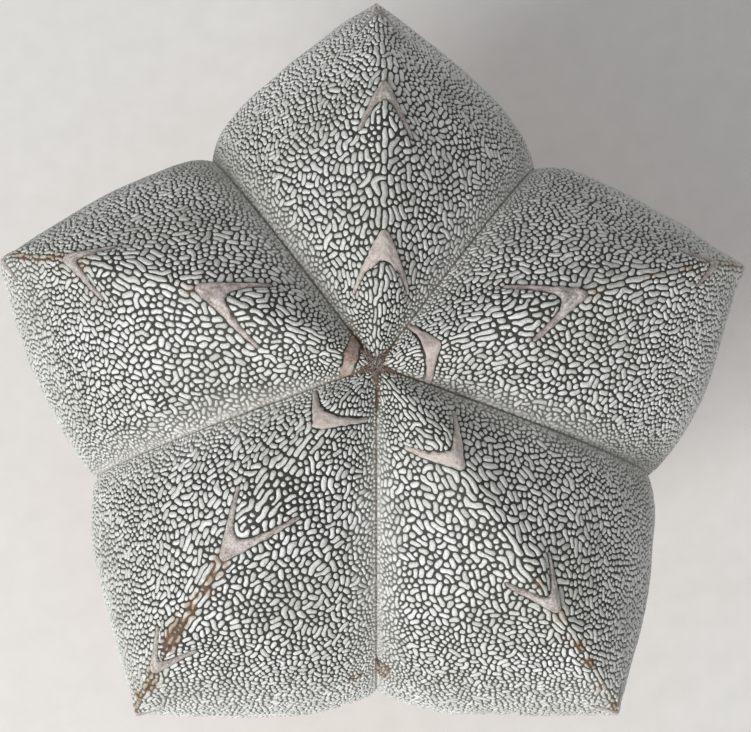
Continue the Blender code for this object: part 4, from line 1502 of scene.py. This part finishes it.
def make_grit(name, dark, light, vein, speck_size):
    """Crushed stone, broken and unpolished: dull faces, mineral grains and a few pale veins."""
    material, tree, place = start_material(name, 0.82, specular=0.35)
    mineral = add(tree, "TexVoronoi", {"Vector": place, "Scale": per_metre(speck_size),
                                       "Randomness": 1.0}).outputs["Color"]
    mineral = add(tree, "SeparateColor", {"Color": mineral}).outputs[0]
    cloud = add(tree, "TexNoise", {"Vector": place, "Scale": per_metre(2.6), "Detail": 5.0,
                                   "Roughness": 0.65}).outputs["Fac"]
    blend = add(tree, "Math", {0: mineral, 1: 0.35, 2: cloud}, operation="MULTIPLY_ADD")
    share = add(tree, "MapRange", {"Value": blend.outputs[0], "From Min": 0.40,
                                   "From Max": 0.95}).outputs[0]
    stone = add(tree, "Mix", {0: share, 6: dark, 7: light}, data_type="RGBA").outputs[2]
    seam = add(tree, "TexNoise", {"Vector": place, "Scale": per_metre(3.4), "Detail": 3.0,
                                  "Distortion": 1.2}).outputs["Fac"]
    seam = add(tree, "ValToRGB", {"Fac": seam}, [
        (0.485, "#000000"), (0.50, "#B0B0B0"), (0.515, "#000000")]).outputs[0]
    stone = add(tree, "Mix", {0: seam, 6: stone, 7: vein}, data_type="RGBA").outputs[2]
    pores = add(tree, "TexNoise", {"Vector": place, "Scale": per_metre(0.35), "Detail": 5.0,
                                   "Roughness": 0.7}).outputs["Fac"]
    finish_material(tree, stone, pores, 0.10)
    return material


def looking_rays(tree):
    """1 for the rays that look at the background, straight on or in gloss or glass."""
    rays = add(tree, "LightPath").outputs
    seen = add(tree, "Math", {0: rays["Is Camera Ray"], 1: rays["Is Glossy Ray"]},
               operation="MAXIMUM").outputs[0]
    return add(tree, "Math", {0: seen, 1: rays["Is Transmission Ray"]},
               operation="MAXIMUM").outputs[0]


def make_paper(name, colour):
    """Matt seamless paper: plain, pale and very faintly clouded.

    Far from the pot it turns to the backdrop's colour, as a sweep of paper does where it rises.
    """
    material, tree, place = start_material(name, 0.9, specular=0.1)
    cloud = add(tree, "TexNoise", {"Vector": place, "Scale": per_metre(4.0),
                                   "Detail": 4.0}).outputs["Fac"]
    tone = add(tree, "ValToRGB", {"Fac": cloud}, [(0.3, "#FAFAF9"), (0.7, "#FFFFFF")]).outputs[0]
    paper = add(tree, "Mix", {0: 1.0, 6: colour, 7: tone}, data_type="RGBA",
                blend_type="MULTIPLY").outputs[2]
    shader = tree.nodes["Principled BSDF"]
    tree.links.new(paper, shader.inputs["Base Color"])
    away = add(tree, "VectorMath", {0: place}, operation="LENGTH").outputs["Value"]
    away = add(tree, "MapRange", {"Value": away, "From Min": 0.2, "From Max": 1.0},
               interpolation_type="SMOOTHSTEP").outputs[0]
    share = add(tree, "Math", {0: away, 1: looking_rays(tree)}, operation="MULTIPLY").outputs[0]
    backdrop = add(tree, "Emission", {"Color": colour, "Strength": 1.0})
    sweep = add(tree, "MixShader", {0: share, 1: shader.outputs[0], 2: backdrop.outputs[0]})
    tree.links.new(sweep.outputs[0], tree.nodes["Material Output"].inputs["Surface"])
    return material


class CactusFinish(bpy.types.PropertyGroup):
    fleck_width: size_property("Fleck width", "From one fleck to the next", 0.70)
    fleck_gap: size_property("Fleck gap", "Bare skin between two flecks", 0.130)
    fleck_height: size_property("Fleck height", "How far a fleck stands off the skin", 0.08)
    felt_thickness: size_property("Felt thickness", "How far an areole's felt stands proud", 0.20)
    apex_fibres: bpy.props.IntProperty(
        name="Apex fibres", description="Dried hairs on the growing point", default=150, min=0)
    skin_dark: colour_property("Skin, dark", "The skin's darkest green-black", "#262722")
    skin_light: colour_property("Skin, light", "The skin's lightest olive grey", "#45453F")
    scurf_dark: colour_property("Scurf, dark", "Thin scurf beside the grooves", "#A19D94")
    scurf_light: colour_property("Scurf, light", "Thick scurf beside the grooves", "#D8D5CE")
    wool: colour_property("Wool", "Fresh wool flecks", "#EFF0EE")
    wool_stained: colour_property("Stained wool", "Weathered flecks by the crests", "#BFA98C")
    wool_stained_dark: colour_property("Stained wool, dark", "The brownest flecks", "#75604A")
    felt_warm: colour_property("Felt, warm", "The pink of the areoles", "#B5A096")
    felt_cool: colour_property("Felt, cool", "The grey of the areoles", "#BBB5AE")
    apex_red: colour_property("Apex, red", "Reddish bits in the apex wool", "#7A5045")


class PotFinish(bpy.types.PropertyGroup):
    unevenness: size_property("Unevenness", "How far the hand-thrown wall wanders", 0.11)
    grains: bpy.props.IntProperty(
        name="Fine grit", description="Small grains of each colour on the mix", default=420, min=0)
    clay_light: colour_property("Clay, light", "The terracotta's palest orange", "#C9805C")
    clay_dark: colour_property("Clay, dark", "The terracotta where it fired redder", "#AB5D3D")
    lime: colour_property("Lime bloom", "White crust left by hard water", "#E2D3C4")
    mix_dark: colour_property("Mix, dark", "Damp coir in the gaps", "#2A211A")
    mix_brown: colour_property("Mix, brown", "Bark crumbs", "#4C3A2B")
    pumice: colour_property("Pumice", "Pale specks in the mix", "#A99F90")
    grey_dark: colour_property("Grey grit, dark", "The granite's dark grains", "#55544F")
    grey_light: colour_property("Grey grit, light", "The granite's pale grains", "#A3A19A")
    buff_dark: colour_property("Buff grit, dark", "The sandstone's brown grains", "#8E7355")
    buff_light: colour_property("Buff grit, light", "The sandstone's pale grains", "#CDB691")
    vein: colour_property("Veins", "Quartz in both kinds of grit", "#D8D3C8")


class StageFinish(bpy.types.PropertyGroup):
    floor: colour_property("Floor", "Pale paper under and behind the plant", "#E2E1DD")
    key_power: bpy.props.FloatProperty(
        name="Key lamp", description="Power of the soft lamp at the side", default=4.75, min=0.0,
        unit="POWER")
    sky: bpy.props.FloatProperty(
        name="Room light", description="Strength of the even light of the room", default=0.53,
        min=0.0)


# The lamp's direction as azimuth and height in degrees, its distance and its width in metres.
LAMP_AZIMUTH = 229.0
LAMP_HEIGHT = 44.0
LAMP_DISTANCE = 0.75
LAMP_WIDTH = 0.34
LAMP_TARGET = Vector((0.0, 0.0, 0.08))
# The camera looks down on the plant, a little short of straight down.
CAMERA_LENS = 91.0
CAMERA_HEIGHT = 84.4  # degrees above level
CAMERA_DISTANCE = 0.230
CAMERA_TARGET = Vector((-0.1, 2.6, 85.5)) * MM
FLOOR_WIDTH = 8.0
ROOM_TINT = "#F6F7FA"


def cover(piece, material, slot_name, *nodes):
    """Gives a piece its finish, fixes it to the plant and hides the CAD parts it replaces."""
    piece.data.materials.clear()
    piece.data.materials.append(material)
    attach(piece, BODY)
    if nodes:
        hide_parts(*nodes)


class OBJECT_OT_cactus_skin(bpy.types.Operator):
    """Grow the plant's five-ribbed skin"""
    bl_idname = "object.cactus_skin"
    bl_label = "Cactus skin"

    def execute(self, context):
        finish = context.scene.cactus_finish
        cover(grow_skin(), make_dry_skin(finish), "cactus_skin", "cactus_body")
        return {"FINISHED"}


class OBJECT_OT_wool_flecks(bpy.types.Operator):
    """Grow the wool flecks over each rib"""
    bl_idname = "object.wool_flecks"
    bl_label = "Wool flecks"

    def execute(self, context):
        finish = context.scene.cactus_finish
        wool = make_wool(finish)
        for rib in range(RIB_COUNT):
            for piece in grow_flecks(rib, finish.fleck_width / MM, finish.fleck_gap / MM,
                                     finish.fleck_height / MM):
                cover(piece, wool, "wool_flecks")
        return {"FINISHED"}


class OBJECT_OT_areoles(bpy.types.Operator):
    """Raise the forked areoles along each rib's crest"""
    bl_idname = "object.areoles"
    bl_label = "Areoles"

    def execute(self, context):
        finish = context.scene.cactus_finish
        felt = make_felt(finish)
        for rib in range(RIB_COUNT):
            cover(grow_areoles(rib, finish.felt_thickness / MM), felt, "areole_felt")
        return {"FINISHED"}


class OBJECT_OT_apex_wool(bpy.types.Operator):
    """Pile the dried wool on the growing point"""
    bl_idname = "object.apex_wool"
    bl_label = "Apex wool"

    def execute(self, context):
        finish = context.scene.cactus_finish
        cover(grow_apex(finish.apex_fibres), make_apex_wool(finish), "areole_felt")
        return {"FINISHED"}


class OBJECT_OT_clay_pot(bpy.types.Operator):
    """Throw the clay pot"""
    bl_idname = "object.clay_pot"
    bl_label = "Clay pot"

    def execute(self, context):
        finish = context.scene.pot_finish
        cover(throw_pot(finish.unevenness / MM), make_terracotta(finish), "terracotta", "clay_pot")
        return {"FINISHED"}


class OBJECT_OT_potting_mix(bpy.types.Operator):
    """Fill the pot with its crumbly mix"""
    bl_idname = "object.potting_mix"
    bl_label = "Potting mix"

    def execute(self, context):
        finish = context.scene.pot_finish
        cover(fill_mix(), make_mix_crumbs(finish), "potting_mix", "potting_mix")
        return {"FINISHED"}


class OBJECT_OT_grit(bpy.types.Operator):
    """Lay the grit stones, and strew fine grit between them"""
    bl_idname = "object.grit"
    bl_label = "Grit"

    def execute(self, context):
        finish = context.scene.pot_finish
        grits = (make_grit("broken_sandstone", finish.buff_dark, finish.buff_light,
                           finish.vein, SANDSTONE_GRAIN),
                 make_grit("broken_granite", finish.grey_dark, finish.grey_light,
                           finish.vein, GRANITE_GRAIN))
        slots = ("grit_buff", "grit_grey")
        stones = sorted(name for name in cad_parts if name.startswith("grit_stone_"))
        places = []
        for name in stones:
            number = int(name[-2:])
            low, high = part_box(name)
            places.append(((low[0] + high[0]) / 2 / MM, (low[1] + high[1]) / 2 / MM,
                           (high[0] - low[0]) / 2 / MM))
            cover(weather_stone(bpy.data.objects[name], number), grits[number % 2],
                  slots[number % 2], name)
        for kind, colour in enumerate(("buff", "grey")):
            grains = strew(f"fine_grit_{colour}", finish.grains, GRIT_SIZES, 31 + kind, places)
            cover(grains, grits[kind], slots[kind])
        return {"FINISHED"}


class OBJECT_OT_stage(bpy.types.Operator):
    """Lay the pale floor, hang the lamp and set the camera above the plant"""
    bl_idname = "object.cactus_stage"
    bl_label = "Stage"

    def execute(self, context):
        scene = context.scene
        finish = scene.stage_finish
        bpy.ops.mesh.primitive_plane_add(size=FLOOR_WIDTH, location=(0.0, 0.0, 0.0))
        floor = context.object
        floor.name = "floor"
        floor.data.materials.append(make_paper("floor_paper", finish.floor))

        bpy.ops.object.light_add(type="AREA", location=(0.0, 0.0, 0.0))
        lamp = context.object
        lamp.name = "key_lamp"
        lamp.data.shape = "DISK"
        lamp.data.size = LAMP_WIDTH
        lamp.data.energy = finish.key_power
        azimuth = math.radians(LAMP_AZIMUTH)
        height = math.radians(LAMP_HEIGHT)
        off = Vector((math.cos(azimuth) * math.cos(height), math.sin(azimuth) * math.cos(height),
                      math.sin(height)))
        lamp.location = LAMP_TARGET + off * LAMP_DISTANCE
        lamp.rotation_euler = off.to_track_quat("Z", "Y").to_euler()

        world = bpy.data.worlds.new("pale_room")
        scene.world = world
        world.use_nodes = True
        tree = world.node_tree
        room = tree.nodes["Background"]
        room.inputs["Color"].default_value = srgb(ROOM_TINT)
        room.inputs["Strength"].default_value = finish.sky
        backdrop = add(tree, "Background", {"Color": finish.floor, "Strength": 1.0})
        blend = add(tree, "MixShader", {0: looking_rays(tree), 1: room.outputs[0],
                                        2: backdrop.outputs[0]})
        tree.links.new(blend.outputs[0], tree.nodes["World Output"].inputs["Surface"])

        bpy.ops.object.camera_add(location=(0.0, 0.0, 0.0))
        camera = context.object
        camera.name = "camera"
        camera.data.sensor_width = 36.0
        camera.data.lens = CAMERA_LENS
        camera.data.clip_start = 0.01
        camera.data.clip_end = 30.0
        tip = math.radians(90.0 - CAMERA_HEIGHT)
        back = Vector((0.0, -math.sin(tip), math.cos(tip)))
        camera.location = CAMERA_TARGET + back * CAMERA_DISTANCE
        camera.rotation_euler = (tip, 0.0, 0.0)
        scene.camera = camera
        scene.view_settings.view_transform = "Standard"
        return {"FINISHED"}


class VIEW3D_PT_cactus(bpy.types.Panel):
    """Lists the pieces in the order they are made"""
    bl_idname = "VIEW3D_PT_cactus"
    bl_label = "Bishop's cap cactus"
    bl_space_type = "VIEW_3D"
    bl_region_type = "UI"
    bl_category = "Cactus"

    def draw(self, context):
        for piece in PIECES:
            self.layout.operator(piece.bl_idname)
        scene = context.scene
        for group in (scene.cactus_finish, scene.pot_finish, scene.stage_finish):
            column = self.layout.column()
            for name in group.bl_rna.properties.keys():
                if name not in ("rna_type", "name"):
                    column.prop(group, name)


PIECES = (
    OBJECT_OT_stage, OBJECT_OT_cactus_skin, OBJECT_OT_wool_flecks, OBJECT_OT_areoles,
    OBJECT_OT_apex_wool, OBJECT_OT_clay_pot, OBJECT_OT_potting_mix, OBJECT_OT_grit,
)
CLASSES = (CactusFinish, PotFinish, StageFinish, *PIECES, VIEW3D_PT_cactus)


def register():
    for kind in CLASSES:
        bpy.utils.register_class(kind)
    bpy.types.Scene.cactus_finish = bpy.props.PointerProperty(type=CactusFinish)
    bpy.types.Scene.pot_finish = bpy.props.PointerProperty(type=PotFinish)
    bpy.types.Scene.stage_finish = bpy.props.PointerProperty(type=StageFinish)


def unregister():
    del bpy.types.Scene.stage_finish
    del bpy.types.Scene.pot_finish
    del bpy.types.Scene.cactus_finish
    for kind in reversed(CLASSES):
        bpy.utils.unregister_class(kind)


def main():
    """Makes every piece in order."""
    register()
    for piece in PIECES:
        group, name = piece.bl_idname.split(".")
        bpy.ops.object.select_all(action="DESELECT")
        getattr(getattr(bpy.ops, group), name)()


if __name__ == "__main__":
    main()
